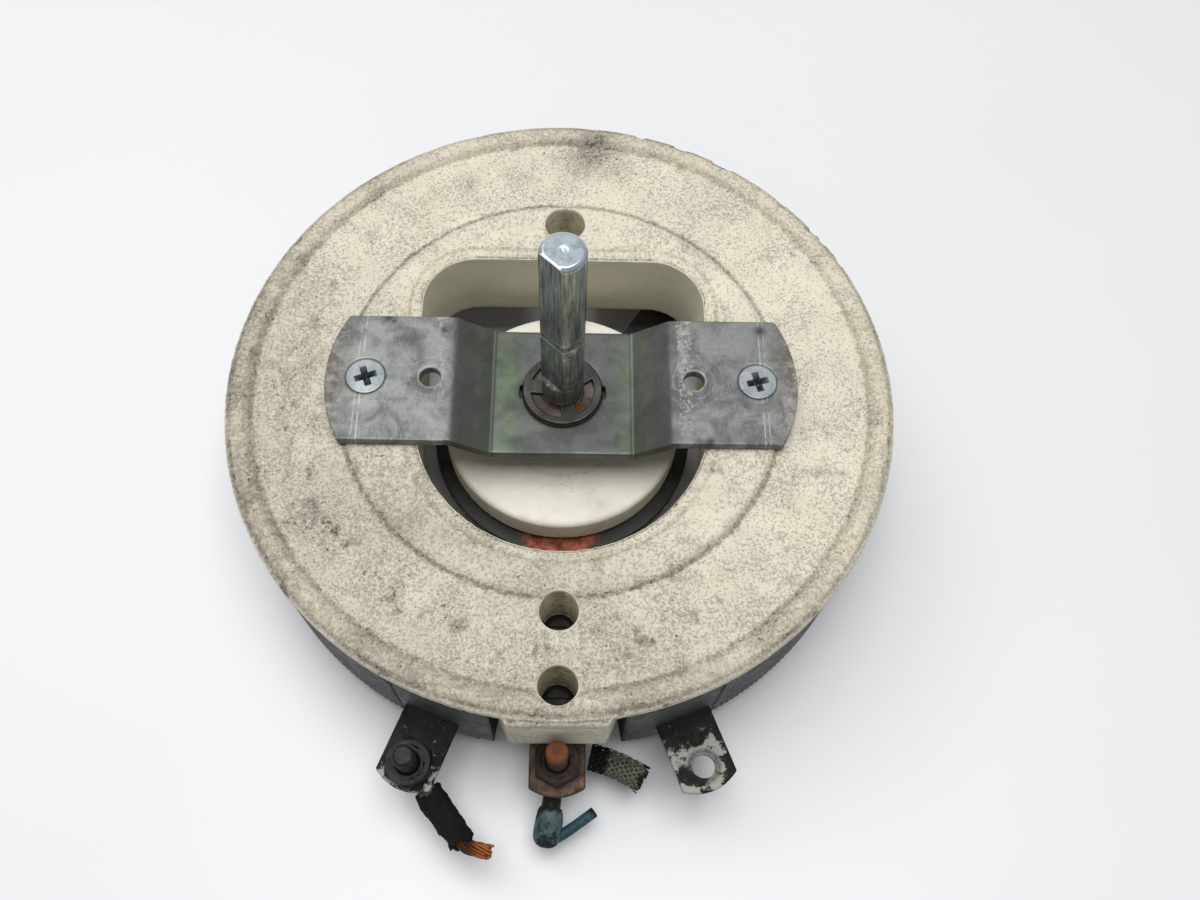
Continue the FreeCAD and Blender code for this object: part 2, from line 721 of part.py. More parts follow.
def make_shaft():
    """Round shaft with a groove for the retaining ring and one long flat that ends in a shallow groove."""
    body = new_body("shaft_turned")
    clip_top = level("bushing_top_depth - thrust_gap - clip_thickness - groove_gap")
    clip_bottom = level("bushing_top_depth - thrust_gap + groove_gap")
    flat_foot = "flat_end - bracket_thickness"
    foot_radius = "shaft_radius - flat_groove_depth"
    revolve(body, "shaft_turning", [[
        ("0", "shaft_top - bracket_thickness"),
        ("shaft_radius - shaft_chamfer", "shaft_top - bracket_thickness"),
        ("shaft_radius", "shaft_top - bracket_thickness - shaft_chamfer"),
        ("shaft_radius", f"{flat_foot} + flat_groove_width / 2"),
        (foot_radius, f"{flat_foot} + flat_groove_width / 2"),
        (foot_radius, f"{flat_foot} - flat_groove_width / 2"),
        ("shaft_radius", f"{flat_foot} - flat_groove_width / 2"),
        ("shaft_radius", clip_top), ("groove_radius", clip_top),
        ("groove_radius", clip_bottom), ("shaft_radius", clip_bottom),
        ("shaft_radius", level("shaft_end_depth")), ("0", level("shaft_end_depth"))]])
    flat = box("shaft_flat", ("flat_distance", "-2 * shaft_radius", flat_foot),
               ("2 * shaft_radius", "2 * shaft_radius", "shaft_top + 1"))
    flat_turned = turned("shaft_flat_turned", flat, number("flat_direction"))
    hole = drive_pin_cylinder("shaft_pin_hole", "drive_pin_radius + bushing_fit", "4 * shaft_radius")
    finish_node(cut("shaft_solid", body, fuse("shaft_cuts", flat_turned, hole)), "control_shaft")


def drive_pin_cylinder(name, radius, length):
    """Cylinder across the axis at the drive pin's level, square to the contact arm."""
    pin = cylinder(name, radius, length)
    across = FreeCAD.Rotation(FreeCAD.Vector(0, 0, 1), number("arm_direction"))
    across = across.multiply(FreeCAD.Rotation(FreeCAD.Vector(1, 0, 0), 90))
    middle = vector("0", "0", level("drive_pin_depth"))
    half = across.multVec(FreeCAD.Vector(0, 0, number(length) / 2))
    for axis in "xyz":
        pin.setExpression(f"Placement.Base.{axis}", None)
    pin.Placement = FreeCAD.Placement(middle - half, across)
    return pin


def make_bearing():
    """Flanged bushing in the bracket and the thrust washer between it and the hub."""
    bore = "shaft_radius + bushing_fit"
    under = level("bracket_drop + layer_gap")
    turned_node("shaft_bushing", [
        (bore, level("bushing_top_depth")), ("bushing_radius", level("bushing_top_depth")),
        ("bushing_radius", under), ("bushing_flange_radius", under),
        ("bushing_flange_radius", f"{under} - bushing_flange_thickness"),
        ("bushing_body_radius", f"{under} - bushing_flange_thickness"),
        ("bushing_body_radius", level("bushing_end_depth")), (bore, level("bushing_end_depth"))])
    turned_node("thrust_washer", washer_outline(
        "shaft_radius + fit_clearance", "thrust_washer_radius",
        level("bushing_end_depth + thrust_gap"), level("hub_top_depth - thrust_gap")))


def make_retaining_ring():
    """Spring clip with three prongs in the shaft groove and an open mouth."""
    low = level("bushing_top_depth - thrust_gap")
    body = new_body("clip_rim")
    pad(body, "clip_rim_pad", low, "clip_thickness",
        circles=[("0", "0", "clip_radius"), ("0", "0", "clip_window_radius")])
    parts = [body]
    for index, turn in enumerate((70.0, -70.0, 180.0)):
        bar = box(f"clip_prong_{index}", ("0", "-clip_prong_width / 2", low),
                  ("clip_window_radius + prong_root", "clip_prong_width / 2", f"{low} + clip_thickness"))
        parts.append(turned(f"clip_prong_{index}_turned", bar, turn))
    core = cylinder("clip_core", "groove_radius + groove_gap", "clip_thickness + 2",
                    ("0", "0", f"{low} - 1"))
    mouth = box("clip_mouth", ("0", "-clip_mouth_width / 2", f"{low} - 1"),
                ("clip_radius + 1", "clip_mouth_width / 2", f"{low} + clip_thickness + 1"))
    clip = cut("clip_solid", fuse("clip_blank", *parts), fuse("clip_cuts", core, mouth))
    clip.Placement = turned_about_z(number("clip_direction"))
    finish_node(clip, "retaining_ring")


# ---------------------------------------------------------------- rotor

def on_arm(radius):
    """Point of the arm's centre line at the given distance from the axis."""
    angle = number("arm_direction")
    reach = number(radius)
    return FreeCAD.Vector(reach * math.cos(math.radians(angle)), reach * math.sin(math.radians(angle)), 0)


def make_hub():
    """Ceramic hub disc with a lower boss, cross-drilled for the drive pin."""
    bore = "shaft_radius + bushing_fit"
    body = new_body("hub_turned")
    revolve(body, "hub_turning", [[
        (bore, level("hub_top_depth")),
        ("hub_radius - hub_edge_chamfer", level("hub_top_depth")),
        ("hub_radius", level("hub_top_depth + hub_edge_chamfer")),
        ("hub_radius", level("hub_bottom_depth")),
        ("hub_boss_radius", level("hub_bottom_depth")),
        ("hub_boss_radius", level("arm_depth")), (bore, level("arm_depth"))]])
    hole = drive_pin_cylinder("hub_pin_hole", "drive_pin_radius + bushing_fit", "4 * hub_boss_radius")
    finish_node(cut("hub_solid", body, hole), "insulating_hub")
    pin = drive_pin_cylinder("hub_pin", "drive_pin_radius", "2 * hub_boss_radius - 1")
    finish_node(pin, "hub_drive_pin")


def make_arm():
    """Spring steel arm: flat root under the hub, a short slope, and a lower tip."""
    body = new_body("arm_strip")
    top = level("arm_depth")
    tip_end = "brush_radius_from_axis + arm_tip_radius"
    sketch = new_sketch(body, "arm_side_view", "XZ_Plane")
    draw_polygon(sketch, [
        ("-arm_root_radius", top), ("arm_slope_start", top),
        ("arm_slope_end", f"{top} - arm_drop"), (tip_end, f"{top} - arm_drop"),
        (tip_end, f"{top} - arm_drop - arm_thickness"),
        ("arm_slope_end", f"{top} - arm_drop - arm_thickness"),
        ("arm_slope_start", f"{top} - arm_thickness"),
        ("-arm_root_radius", f"{top} - arm_thickness")])
    strip = body.newObject("PartDesign::Pad", "arm_width_pad")
    strip.Profile = sketch
    strip.Midplane = True
    bind(strip, "Length", "2 * arm_root_radius")

    low = level("arm_depth + arm_drop + arm_thickness + 1")
    tall = "arm_drop + arm_thickness + 2"
    plan = fuse("arm_plan",
                box("arm_plan_bar", ("0", "-arm_width / 2", low),
                    ("brush_radius_from_axis", "arm_width / 2", f"{low} + {tall}")),
                cylinder("arm_plan_root", "arm_root_radius", tall, ("0", "0", low)),
                cylinder("arm_plan_tip", "arm_tip_radius", tall, ("brush_radius_from_axis", "0", low)))
    holes = fuse("arm_holes",
                 cylinder("arm_shaft_hole", "shaft_radius + fit_clearance", tall, ("0", "0", low)),
                 cylinder("arm_holder_hole", "brush_radius + holder_fit + holder_wall + fit_clearance",
                          tall, ("brush_radius_from_axis", "0", low)),
                 cylinder("arm_contact_hole", "contact_rivet_radius + fit_clearance", tall,
                          ("contact_radius_from_axis", "0", low)))
    arm = cut("arm_solid", common("arm_blank", body, plan), holes)
    arm.Placement = turned_about_z(number("arm_direction"))
    finish_node(arm, "contact_arm")


def make_hub_fastening():
    """Clamp plate, lock washer and nut that hold the arm against the hub's boss."""
    bore = "shaft_radius + fit_clearance"
    plate_top = "arm_depth + arm_thickness"
    plate_bottom = f"{plate_top} + clamp_plate_thickness"
    washer_bottom = f"{plate_bottom} + lock_washer_thickness"
    turned_node("arm_clamp_plate", washer_outline(
        bore, "clamp_plate_radius", level(plate_top), level(plate_bottom)))
    turned_node("shaft_lock_washer", washer_outline(
        bore, "lock_washer_radius", level(plate_bottom), level(washer_bottom)))
    hex_nut("shaft_nut", "shaft_nut_across_flats", "shaft_radius + bushing_fit",
            level("shaft_end_depth"), f"shaft_end_depth - ({washer_bottom})", turn=number("shaft_nut_turn"))


def make_brush():
    """Cup in the arm's tip, the graphite brush that slides in it, and the spring below."""
    place = FreeCAD.Placement(on_arm("brush_radius_from_axis"), FreeCAD.Rotation())
    bore = "brush_radius + holder_fit"
    outer = f"{bore} + holder_wall"
    flange = "arm_depth + arm_drop"
    turned_node("brush_holder", [
        (bore, level(f"{flange} - holder_flange_thickness")),
        ("holder_flange_radius", level(f"{flange} - holder_flange_thickness")),
        ("holder_flange_radius", level(flange)), (outer, level(flange)),
        (outer, level("holder_end_depth")), ("0", level("holder_end_depth")),
        ("0", level("holder_end_depth - holder_wall")),
        (bore, level("holder_end_depth - holder_wall"))], place)
    top = "ring_bottom_depth + contact_gap"
    bottom = f"{top} + brush_height"
    turned_node("contact_brush", [
        ("0", level(top)), ("brush_radius - brush_edge", level(top)),
        ("brush_radius", level(f"{top} + brush_edge")), ("brush_radius", level(bottom)),
        ("0", level(bottom))], place)
    make_spring(place.Base, bottom)


def make_spring(base, top):
    """Open coil spring between the brush and the floor of its cup."""
    wire = number("spring_wire_radius")
    gap = number("layer_gap")
    low = number(level("holder_end_depth - holder_wall")) + wire + gap
    high = number(level(top)) - wire - gap
    turns = number("spring_turns")
    mean = number("spring_mean_radius")
    path = Part.makeHelix((high - low) / turns, high - low, mean)
    section = Part.Wire([Part.makeCircle(wire, FreeCAD.Vector(mean, 0, 0), FreeCAD.Vector(0, 1, 0))])
    spring = doc.addObject("Part::Feature", "brush_spring")
    spring.Shape = Part.Wire(path.Edges).makePipeShell([section], True, True)
    spring.Placement = FreeCAD.Placement(base + FreeCAD.Vector(0, 0, low), FreeCAD.Rotation())
    finish_node(spring, "brush_spring")


def make_collector_contact():
    """Headed contact stud on the arm's root, rubbing on the underside of the collector."""
    place = FreeCAD.Placement(on_arm("contact_radius_from_axis"), FreeCAD.Rotation())
    top = level("collector_depth + collector_thickness + contact_gap")
    arm_bottom = "arm_depth + arm_thickness"
    turned_node("collector_contact", [
        ("0", top), ("contact_radius - small_edge", top), ("contact_radius", f"{top} - small_edge"),
        ("contact_radius", level("arm_depth")), ("contact_rivet_radius", level("arm_depth")),
        ("contact_rivet_radius", level(arm_bottom)),
        ("contact_rivet_head_radius", level(arm_bottom)),
        ("contact_rivet_head_radius", level(f"{arm_bottom} + contact_rivet_head_height")),
        ("0", level(f"{arm_bottom} + contact_rivet_head_height"))], place)


# ---------------------------------------------------------------- wires and leads

def tube(name, points, radius, inner=None):
    """Round bar or pipe along straight runs that are joined by tangent arcs."""
    arc_share = 0.45
    edges = []
    start = points[0]
    for before, corner, after in zip(points, points[1:], points[2:]):
        back = (before - corner).normalize()
        ahead = (after - corner).normalize()
        shorter = min((before - corner).Length, (after - corner).Length)
        half_turn = (math.pi - back.getAngle(ahead)) / 2
        bend_radius = arc_share * shorter / math.tan(half_turn)
        bisector = (back + ahead).normalize()
        centre = corner + bisector * (bend_radius / math.cos(half_turn))
        enter = corner + back * (arc_share * shorter)
        leave = corner + ahead * (arc_share * shorter)
        edges.append(Part.LineSegment(start, enter).toShape())
        edges.append(Part.Arc(enter, centre - bisector * bend_radius, leave).toShape())
        start = leave
    edges.append(Part.LineSegment(start, points[-1]).toShape())
    path = Part.Wire(edges)
    direction = points[1] - points[0]

    def sweep(size):
        section = Part.Wire([Part.makeCircle(size, points[0], direction)])
        return path.makePipeShell([section], True, False)

    solid = sweep(radius)
    if inner:
        solid = solid.cut(sweep(inner))
    node = doc.addObject("Part::Feature", name)
    node.Shape = solid
    return finish_node(node, name)


def make_shunt():
    """Flexible lead along the underside of the arm, from the brush cup to the contact's rivet."""
    radius = number("shunt_radius")
    skin = radius + number("fit_clearance")
    tip_z = number(level("arm_depth + arm_drop + arm_thickness")) - skin
    root_z = number(level("arm_depth + arm_thickness")) - skin
    cup = number("brush_radius_from_axis - brush_radius - holder_fit - holder_wall - 2 * fit_clearance")
    slope_start = number("arm_slope_start + contact_rivet_head_radius")
    slope_end = number("arm_slope_end")
    rivet = number("contact_radius_from_axis + contact_rivet_head_radius + fit_clearance") + skin
    sags = {"cup": 1.2, "tip": 0.6, "slope_end": 0.2, "slope_start": 1.6, "rivet": 0.9}
    tip_run = 9.0
    stops = [(cup, tip_z - sags["cup"]), (slope_end + tip_run, tip_z - sags["tip"]),
             (slope_end, tip_z - sags["slope_end"]), (slope_start, root_z - sags["slope_start"]),
             (rivet, root_z - sags["rivet"])]
    points = [on_arm("1") * reach + FreeCAD.Vector(0, 0, height) for reach, height in stops]
    tube("brush_shunt", points, radius)


def make_stud(place, plate_top, plate_bottom, angle, radius):
    """Terminal bolt pointing forwards: head and washer behind, nut on the front."""
    base = turned_about_z(number(angle)).multVec(FreeCAD.Vector(0, -number(radius), 0))
    at = FreeCAD.Placement(base, FreeCAD.Rotation())
    tongue_bottom = f"{plate_bottom} + tongue_thickness"
    washer_bottom = f"{tongue_bottom} + stud_washer_thickness"
    head_bottom = f"{washer_bottom} + stud_head_height"
    turned_node(f"{place}_terminal_bolt", [
        ("0", level("stud_top_depth")), ("stud_radius - bolt_edge", level("stud_top_depth")),
        ("stud_radius", level("stud_top_depth + bolt_edge")), ("stud_radius", level(washer_bottom)),
        ("stud_head_radius", level(washer_bottom)),
        ("stud_head_radius", level(f"{head_bottom} - small_edge")),
        ("stud_head_radius - small_edge", level(head_bottom)), ("0", level(head_bottom))], at)
    turned_node(f"{place}_terminal_washer", washer_outline(
        "stud_radius + fit_clearance", "stud_washer_radius", level(tongue_bottom),
        level(washer_bottom)), at)
    nut = hex_nut(f"{place}_terminal_nut", "stud_nut_across_flats", "stud_radius + fit_clearance / 2",
                  level(plate_top), "stud_nut_height", turn=number("stud_nut_turn"))
    nut.Placement = FreeCAD.Placement(base + vector("0", "0", level(plate_top)), nut.Placement.Rotation)
    return base


def make_ring_terminal(place, stud, plate_bottom, tilt):
    """Crimp terminal: round tongue on the stud, neck and barrel, covered by an end sleeve."""
    direction = number(f"{place}_lead_direction")
    sleeve_start = number(f"{place}_sleeve_start")
    sleeve_length = number(f"{place}_sleeve_length")
    barrel_length = sleeve_length - number("sleeve_lap")
    top = number(level(plate_bottom))
    thickness = number("tongue_thickness")
    tongue = Part.makeCylinder(number("tongue_radius"), thickness, FreeCAD.Vector(0, 0, -thickness))
    neck_width = number("crimp_neck_width")
    neck = Part.makeBox(sleeve_start, neck_width, thickness, FreeCAD.Vector(0, -neck_width / 2, -thickness))
    hole = Part.makeCylinder(number("stud_radius + fit_clearance"), 3 * thickness,
                             FreeCAD.Vector(0, 0, -2 * thickness))
    barrel_radius = number("crimp_barrel_radius")
    axis = FreeCAD.Vector(math.cos(math.radians(tilt)), 0, -math.sin(math.radians(tilt)))
    drop = number("sleeve_radius + 3 * fit_clearance")
    start = FreeCAD.Vector(sleeve_start, 0, -drop)
    barrel = Part.makeCylinder(barrel_radius, barrel_length, start, axis)
    web_before = 1.2
    web_after = 0.6
    web_low = FreeCAD.Vector(sleeve_start - web_before, -neck_width / 4, -drop)
    web = Part.makeBox(web_before + web_after, neck_width / 2, drop, web_low)
    metal = tongue.fuse([neck, web, barrel]).cut(hole).removeSplitter()
    turn = turned_about_z(direction, FreeCAD.Vector(stud.x, stud.y, top))
    terminal = doc.addObject("Part::Feature", f"{place}_ring_terminal")
    terminal.Shape = metal
    terminal.Placement = turn
    finish_node(terminal, f"{place}_ring_terminal")

    bore = barrel_radius + number("sleeve_wall_gap")
    sleeve_base = start + axis * (web_after + 2 * number("fit_clearance"))
    sleeve_solid = Part.makeCylinder(number("sleeve_radius"), sleeve_length, sleeve_base, axis)
    sleeve_solid = sleeve_solid.cut(Part.makeCylinder(bore, sleeve_length + 2, start, axis))
    sleeve = doc.addObject("Part::Feature", f"{place}_terminal_sleeve")
    sleeve.Shape = sleeve_solid
    sleeve.Placement = turn
    finish_node(sleeve, f"{place}_terminal_sleeve")
    crimp_end = turn.multVec(start + axis * (barrel_length + number("layer_gap")))
    return crimp_end, turn.Rotation.multVec(axis)


def make_leads():
    """Cut-off leads: one crimped on the left stud, one on the centre stud, and a braided one."""
    left = make_stud("left", "lug_depth", "lug_depth + lug_thickness", "-lug_angle",
                     "lug_hole_radius_from_axis")
    under_lug = "lug_depth + lug_thickness"
    end, along = make_ring_terminal("left", left, under_lug, 0.0)
    straight = 3.2
    sideways = FreeCAD.Vector(5.0, -0.75, 0)
    tube("left_wire_stub", [end, end + along * straight, end + along * straight + sideways],
         number("wire_radius"))

    under_strip = "collector_depth + collector_thickness"
    centre = make_stud("centre", "collector_depth", under_strip, "0", "centre_stud_y")
    end, along = make_ring_terminal("centre", centre, under_strip, number("centre_lead_tilt"))
    past_sleeve = 3.85
    bend = end + along * past_sleeve
    beside_sleeve = bend + FreeCAD.Vector(3.9, -0.2, -1.0)
    cut_end = bend + FreeCAD.Vector(10.6, 6.3, -1.6)
    tube("centre_wire_stub", [end, bend, beside_sleeve, cut_end], number("wire_radius"))

    braid_radius = number("braid_radius")
    braid_z = number(level(under_strip)) - braid_radius - 3 * number("fit_clearance")
    braid_stops = [(7.2, -78.0), (13.2, -79.3), (18.7, -82.7)]
    braid = [FreeCAD.Vector(x, y, braid_z) for x, y in braid_stops]
    core_radius = number("braid_core_radius")
    tube("braided_sleeve", braid, braid_radius, core_radius + number("sleeve_wall_gap"))
    tube("braided_lead_core", braid, core_radius)


# ---------------------------------------------------------------- build and write

def check_document():
    """Stop if any object failed or any sub-part is empty or invalid."""
    doc.recompute()
    for obj in doc.Objects:
        if "Invalid" in obj.State or "Error" in obj.State:
            raise RuntimeError(f"{obj.Label} failed to recompute: {obj.State}")
    for node in nodes:
        if node.Shape.isNull() or not node.Shape.isValid():
            raise RuntimeError(f"{node.Label} has no valid shape")


def write_nodes():
    os.makedirs("parts", exist_ok=True)
    for node in nodes:
        node.Shape.exportStep(f"parts/{node.Label}.step")
        solids = len(node.Shape.Solids)
        print(f"{node.Label}: {solids} solid(s), {node.Shape.Volume:.1f} mm3")
    print(f"{len(nodes)} nodes")


fill_sheet()
make_base()
winding_sleeve = make_ring()
make_end_terminal("left", -1, winding_sleeve)
make_end_terminal("right", 1, winding_sleeve)
make_collector()
make_collector_fastener("inner", "inner_base_hole_y")
make_collector_fastener("outer", "outer_base_hole_y")
make_bracket()
make_bracket_fastener("left", -1)
make_bracket_fastener("right", 1)
make_shaft()
make_bearing()
make_retaining_ring()
make_hub()
make_arm()
make_hub_fastening()
make_brush()
make_collector_contact()
make_shunt()
make_leads()
check_document()
write_nodes()
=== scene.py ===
"""Looks of a ceramic power rheostat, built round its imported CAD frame. Lengths are in metres."""

import json
import math

import bmesh
import bpy
import numpy as np
from mathutils import Matrix, Vector


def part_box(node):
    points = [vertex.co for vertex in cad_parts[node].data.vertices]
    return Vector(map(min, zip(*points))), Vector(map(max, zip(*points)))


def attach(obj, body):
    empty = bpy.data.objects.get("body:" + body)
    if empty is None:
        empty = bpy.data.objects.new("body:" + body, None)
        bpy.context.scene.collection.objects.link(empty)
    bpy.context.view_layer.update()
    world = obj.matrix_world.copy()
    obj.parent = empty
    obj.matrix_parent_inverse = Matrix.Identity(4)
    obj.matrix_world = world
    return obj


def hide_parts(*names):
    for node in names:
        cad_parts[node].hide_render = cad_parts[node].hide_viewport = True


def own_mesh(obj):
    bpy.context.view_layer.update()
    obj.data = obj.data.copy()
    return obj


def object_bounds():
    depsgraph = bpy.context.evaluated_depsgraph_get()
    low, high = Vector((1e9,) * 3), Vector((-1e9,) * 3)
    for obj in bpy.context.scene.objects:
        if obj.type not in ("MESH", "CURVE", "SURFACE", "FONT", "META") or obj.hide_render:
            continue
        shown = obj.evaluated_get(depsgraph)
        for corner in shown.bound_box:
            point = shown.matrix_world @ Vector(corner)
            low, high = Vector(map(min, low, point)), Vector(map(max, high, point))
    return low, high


MM = 0.001
TAU = 2 * math.pi

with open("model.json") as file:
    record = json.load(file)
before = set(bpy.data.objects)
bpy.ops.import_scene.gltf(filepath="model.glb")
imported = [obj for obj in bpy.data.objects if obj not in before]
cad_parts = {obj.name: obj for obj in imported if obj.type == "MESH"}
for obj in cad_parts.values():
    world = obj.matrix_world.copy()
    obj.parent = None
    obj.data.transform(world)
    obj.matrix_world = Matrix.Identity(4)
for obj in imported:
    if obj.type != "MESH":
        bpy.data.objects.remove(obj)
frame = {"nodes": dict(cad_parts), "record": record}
cad_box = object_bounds()
nodes = frame["nodes"]

FACE_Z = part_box("ceramic_base")[1].z
RIM_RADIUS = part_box("ceramic_base")[1].x


# ---------------------------------------------------------------- noise and mesh helpers

def lattice(cells, seed):
    """One pseudo-random number from 0 to 1 for each whole-number cell."""
    mixed = (cells[:, 0] * 73856093 ^ cells[:, 1] * 19349663 ^ cells[:, 2] * 83492791) + seed * 2654435
    mixed = (mixed ^ (mixed >> 13)) * 1274126177
    mixed = mixed ^ (mixed >> 16)
    return (mixed & 0xFFFF) / 65535.0


def noise(points, size, seed=0):
    """Smooth value noise from -1 to 1, with features of about the given size."""
    scaled = np.asarray(points) / size + 1000.0
    low = np.floor(scaled).astype(np.int64)
    part = scaled - low
    part = part * part * (3 - 2 * part)
    total = np.zeros(len(scaled))
    for corner in range(8):
        step = np.array([corner & 1, corner >> 1 & 1, corner >> 2 & 1])
        weight = np.prod(np.where(step, part, 1 - part), axis=1)
        total += weight * lattice(low + step, seed)
    return 2 * total - 1


def fractal(points, size, octaves=3, seed=0):
    """Noise with finer and weaker layers on top."""
    layers = [noise(points, size / 2 ** i, seed + i) / 2 ** i for i in range(octaves)]
    return sum(layers) / (2 - 2 ** (1 - octaves))


def smoothstep(low, high, values):
    t = np.clip((values - low) / (high - low), 0, 1)
    return t * t * (3 - 2 * t)


def points_of(obj):
    co = np.empty(len(obj.data.vertices) * 3)
    obj.data.vertices.foreach_get("co", co)
    return co.reshape(-1, 3)


def normals_of(obj):
    no = np.empty(len(obj.data.vertices) * 3)
    obj.data.vertices.foreach_get("normal", no)
    return no.reshape(-1, 3)


def set_points(obj, co):
    obj.data.vertices.foreach_set("co", np.asarray(co).ravel())
    obj.data.update()


def paint(obj, name, values):
    """Store one number for each vertex, for the material to read."""
    layer = obj.data.attributes.get(name) or obj.data.attributes.new(name, "FLOAT", "POINT")
    layer.data.foreach_set("value", np.clip(values, 0, 1).astype(np.float32))


def cavity(obj, rounds=2):
    """How hollow the surface is at each vertex: positive in dents, negative on edges."""
    edges = np.empty(len(obj.data.edges) * 2, np.int64)
    obj.data.edges.foreach_get("vertices", edges)
    edges = edges.reshape(-1, 2)
    co = points_of(obj)
    count = np.bincount(edges.ravel(), minlength=len(co))[:, None].clip(1)
    mean = co.copy()
    for _ in range(rounds):
        total = np.zeros_like(co)
        for axis in range(3):
            total[:, axis] = np.bincount(edges[:, 0], mean[edges[:, 1], axis], len(co))
            total[:, axis] += np.bincount(edges[:, 1], mean[edges[:, 0], axis], len(co))
        mean = total / count
    return np.einsum("ij,ij->i", mean - co, normals_of(obj))


def add_object(name, mesh):
    obj = bpy.data.objects.new(name, mesh)
    bpy.context.scene.collection.objects.link(obj)
    return obj


def mesh_object(name, verts, faces, smooth=True):
    mesh = bpy.data.meshes.new(name)
    mesh.from_pydata([tuple(v) for v in verts], [], [tuple(f) for f in faces])
    mesh.validate()
    if smooth:
        mesh.polygons.foreach_set("use_smooth", [True] * len(mesh.polygons))
    mesh.update()
    return add_object(name, mesh)


def bake_modifiers(obj):
    """Put the result of an object's modifiers in its mesh."""
    bpy.context.view_layer.update()
    graph = bpy.context.evaluated_depsgraph_get()
    mesh = bpy.data.meshes.new_from_object(obj.evaluated_get(graph))
    old = obj.data
    obj.modifiers.clear()
    obj.data = mesh
    bpy.data.meshes.remove(old)
    return obj


def cad_copy(node, name):
    """A welded copy of a CAD node's mesh."""
    bm = bmesh.new()
    bm.from_mesh(nodes[node].data)
    bmesh.ops.remove_doubles(bm, verts=bm.verts, dist=1e-6)
    bmesh.ops.recalc_face_normals(bm, faces=bm.faces)
    mesh = bpy.data.meshes.new(name)
    bm.to_mesh(mesh)
    bm.free()
    return add_object(name, mesh)


def recast(node, name, voxel, smooth=3):
    """A CAD node as one even skin of small faces with softly broken edges."""
    obj = cad_copy(node, name)
    remesh = obj.modifiers.new("skin", "REMESH")
    remesh.mode = "VOXEL"
    remesh.voxel_size = voxel
    remesh.use_smooth_shade = True
    if smooth:
        soften = obj.modifiers.new("soft_edges", "SMOOTH")
        soften.factor = 0.5
        soften.iterations = smooth
    return bake_modifiers(obj)


def push(obj, amounts):
    """Move each vertex along its normal."""
    set_points(obj, points_of(obj) + normals_of(obj) * np.asarray(amounts)[:, None])


def join(name, objects):
    """Several objects as one piece."""
    bm = bmesh.new()
    for obj in objects:
        bm.from_mesh(obj.data)
    mesh = bpy.data.meshes.new(name)
    bm.to_mesh(mesh)
    bm.free()
    for obj in objects:
        bpy.data.objects.remove(obj)
    return add_object(name, mesh)


def finer(outline, step):
    """An outline with extra points so that no piece of it is longer than step."""
    fine = []
    for (r0, z0), (r1, z1) in zip(outline, outline[1:] + outline[:1]):
        count = max(1, math.ceil(math.hypot(r1 - r0, z1 - z0) / step))
        fine += [(r0 + (r1 - r0) * i / count, z0 + (z1 - z0) * i / count) for i in range(count)]
    return fine


def rounded(outline, radius):
    """An outline with each corner replaced by a small quarter-like arc."""
    result = []
    size = len(outline)
    for i in range(size):
        corner = Vector(outline[i])
        before = Vector(outline[i - 1]) - corner
        after = Vector(outline[(i + 1) % size]) - corner
        if corner.x < 1e-9 or before.length < 1e-9 or after.length < 1e-9:
            result.append(tuple(corner))
            continue
        reach = min(radius, before.length * 0.45, after.length * 0.45)
        start = corner + before.normalized() * reach
        end = corner + after.normalized() * reach
        for t in (0.0, 0.35, 0.65, 1.0):
            bend = start * (1 - t) ** 2 + corner * 2 * t * (1 - t) + end * t * t
            result.append(tuple(bend))
    return result


def lathe(name, outline, segments=64, centre=(0, 0), shape=None, turn=0.0):
    """Turn a closed (radius, height) outline; shape(angle, radius, height) may change the radius."""
    verts, rings = [], []
    for r, z in outline:
        if r < 1e-9:
            rings.append([len(verts)] * segments)
            verts.append((centre[0], centre[1], z))
            continue
        ring = []
        for i in range(segments):
            a = turn + TAU * i / segments
            radius = shape(a, r, z) if shape else r
            ring.append(len(verts))
            verts.append((centre[0] + radius * math.cos(a), centre[1] + radius * math.sin(a), z))
        rings.append(ring)
    faces = []
    for low, high in zip(rings, rings[1:] + rings[:1]):
        if low[0] == low[1] and high[0] == high[1]:
            continue
        for i in range(segments):
            j = (i + 1) % segments
            face = []
            for index in (low[i], low[j], high[j], high[i]):
                if index not in face:
                    face.append(index)
            faces.append(face)
    obj = mesh_object(name, verts, faces)
    bm = bmesh.new()
    bm.from_mesh(obj.data)
    bmesh.ops.recalc_face_normals(bm, faces=bm.faces)
    bm.to_mesh(obj.data)
    bm.free()
    return obj


def round_facts(node):
    """Centre, bore radius, outer radius, lowest and highest point of a round or six-sided node."""
    low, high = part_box(node)
    centre = (low + high) / 2
    co = points_of(nodes[node])
    reach = np.hypot(co[:, 0] - centre.x, co[:, 1] - centre.y)
    far = co[reach.argmax()]
    corner = math.atan2(far[1] - centre.y, far[0] - centre.x)
    return (centre.x, centre.y), reach.min(), reach.max(), low.z, high.z, corner


def washer(node, name, edge=0.15 * MM):
    centre, bore, outer, low, high, _ = round_facts(node)
    outline = rounded([(bore, low), (outer, low), (outer, high), (bore, high)], edge)
    return lathe(name, finer(outline, 0.8 * MM), 72, centre)


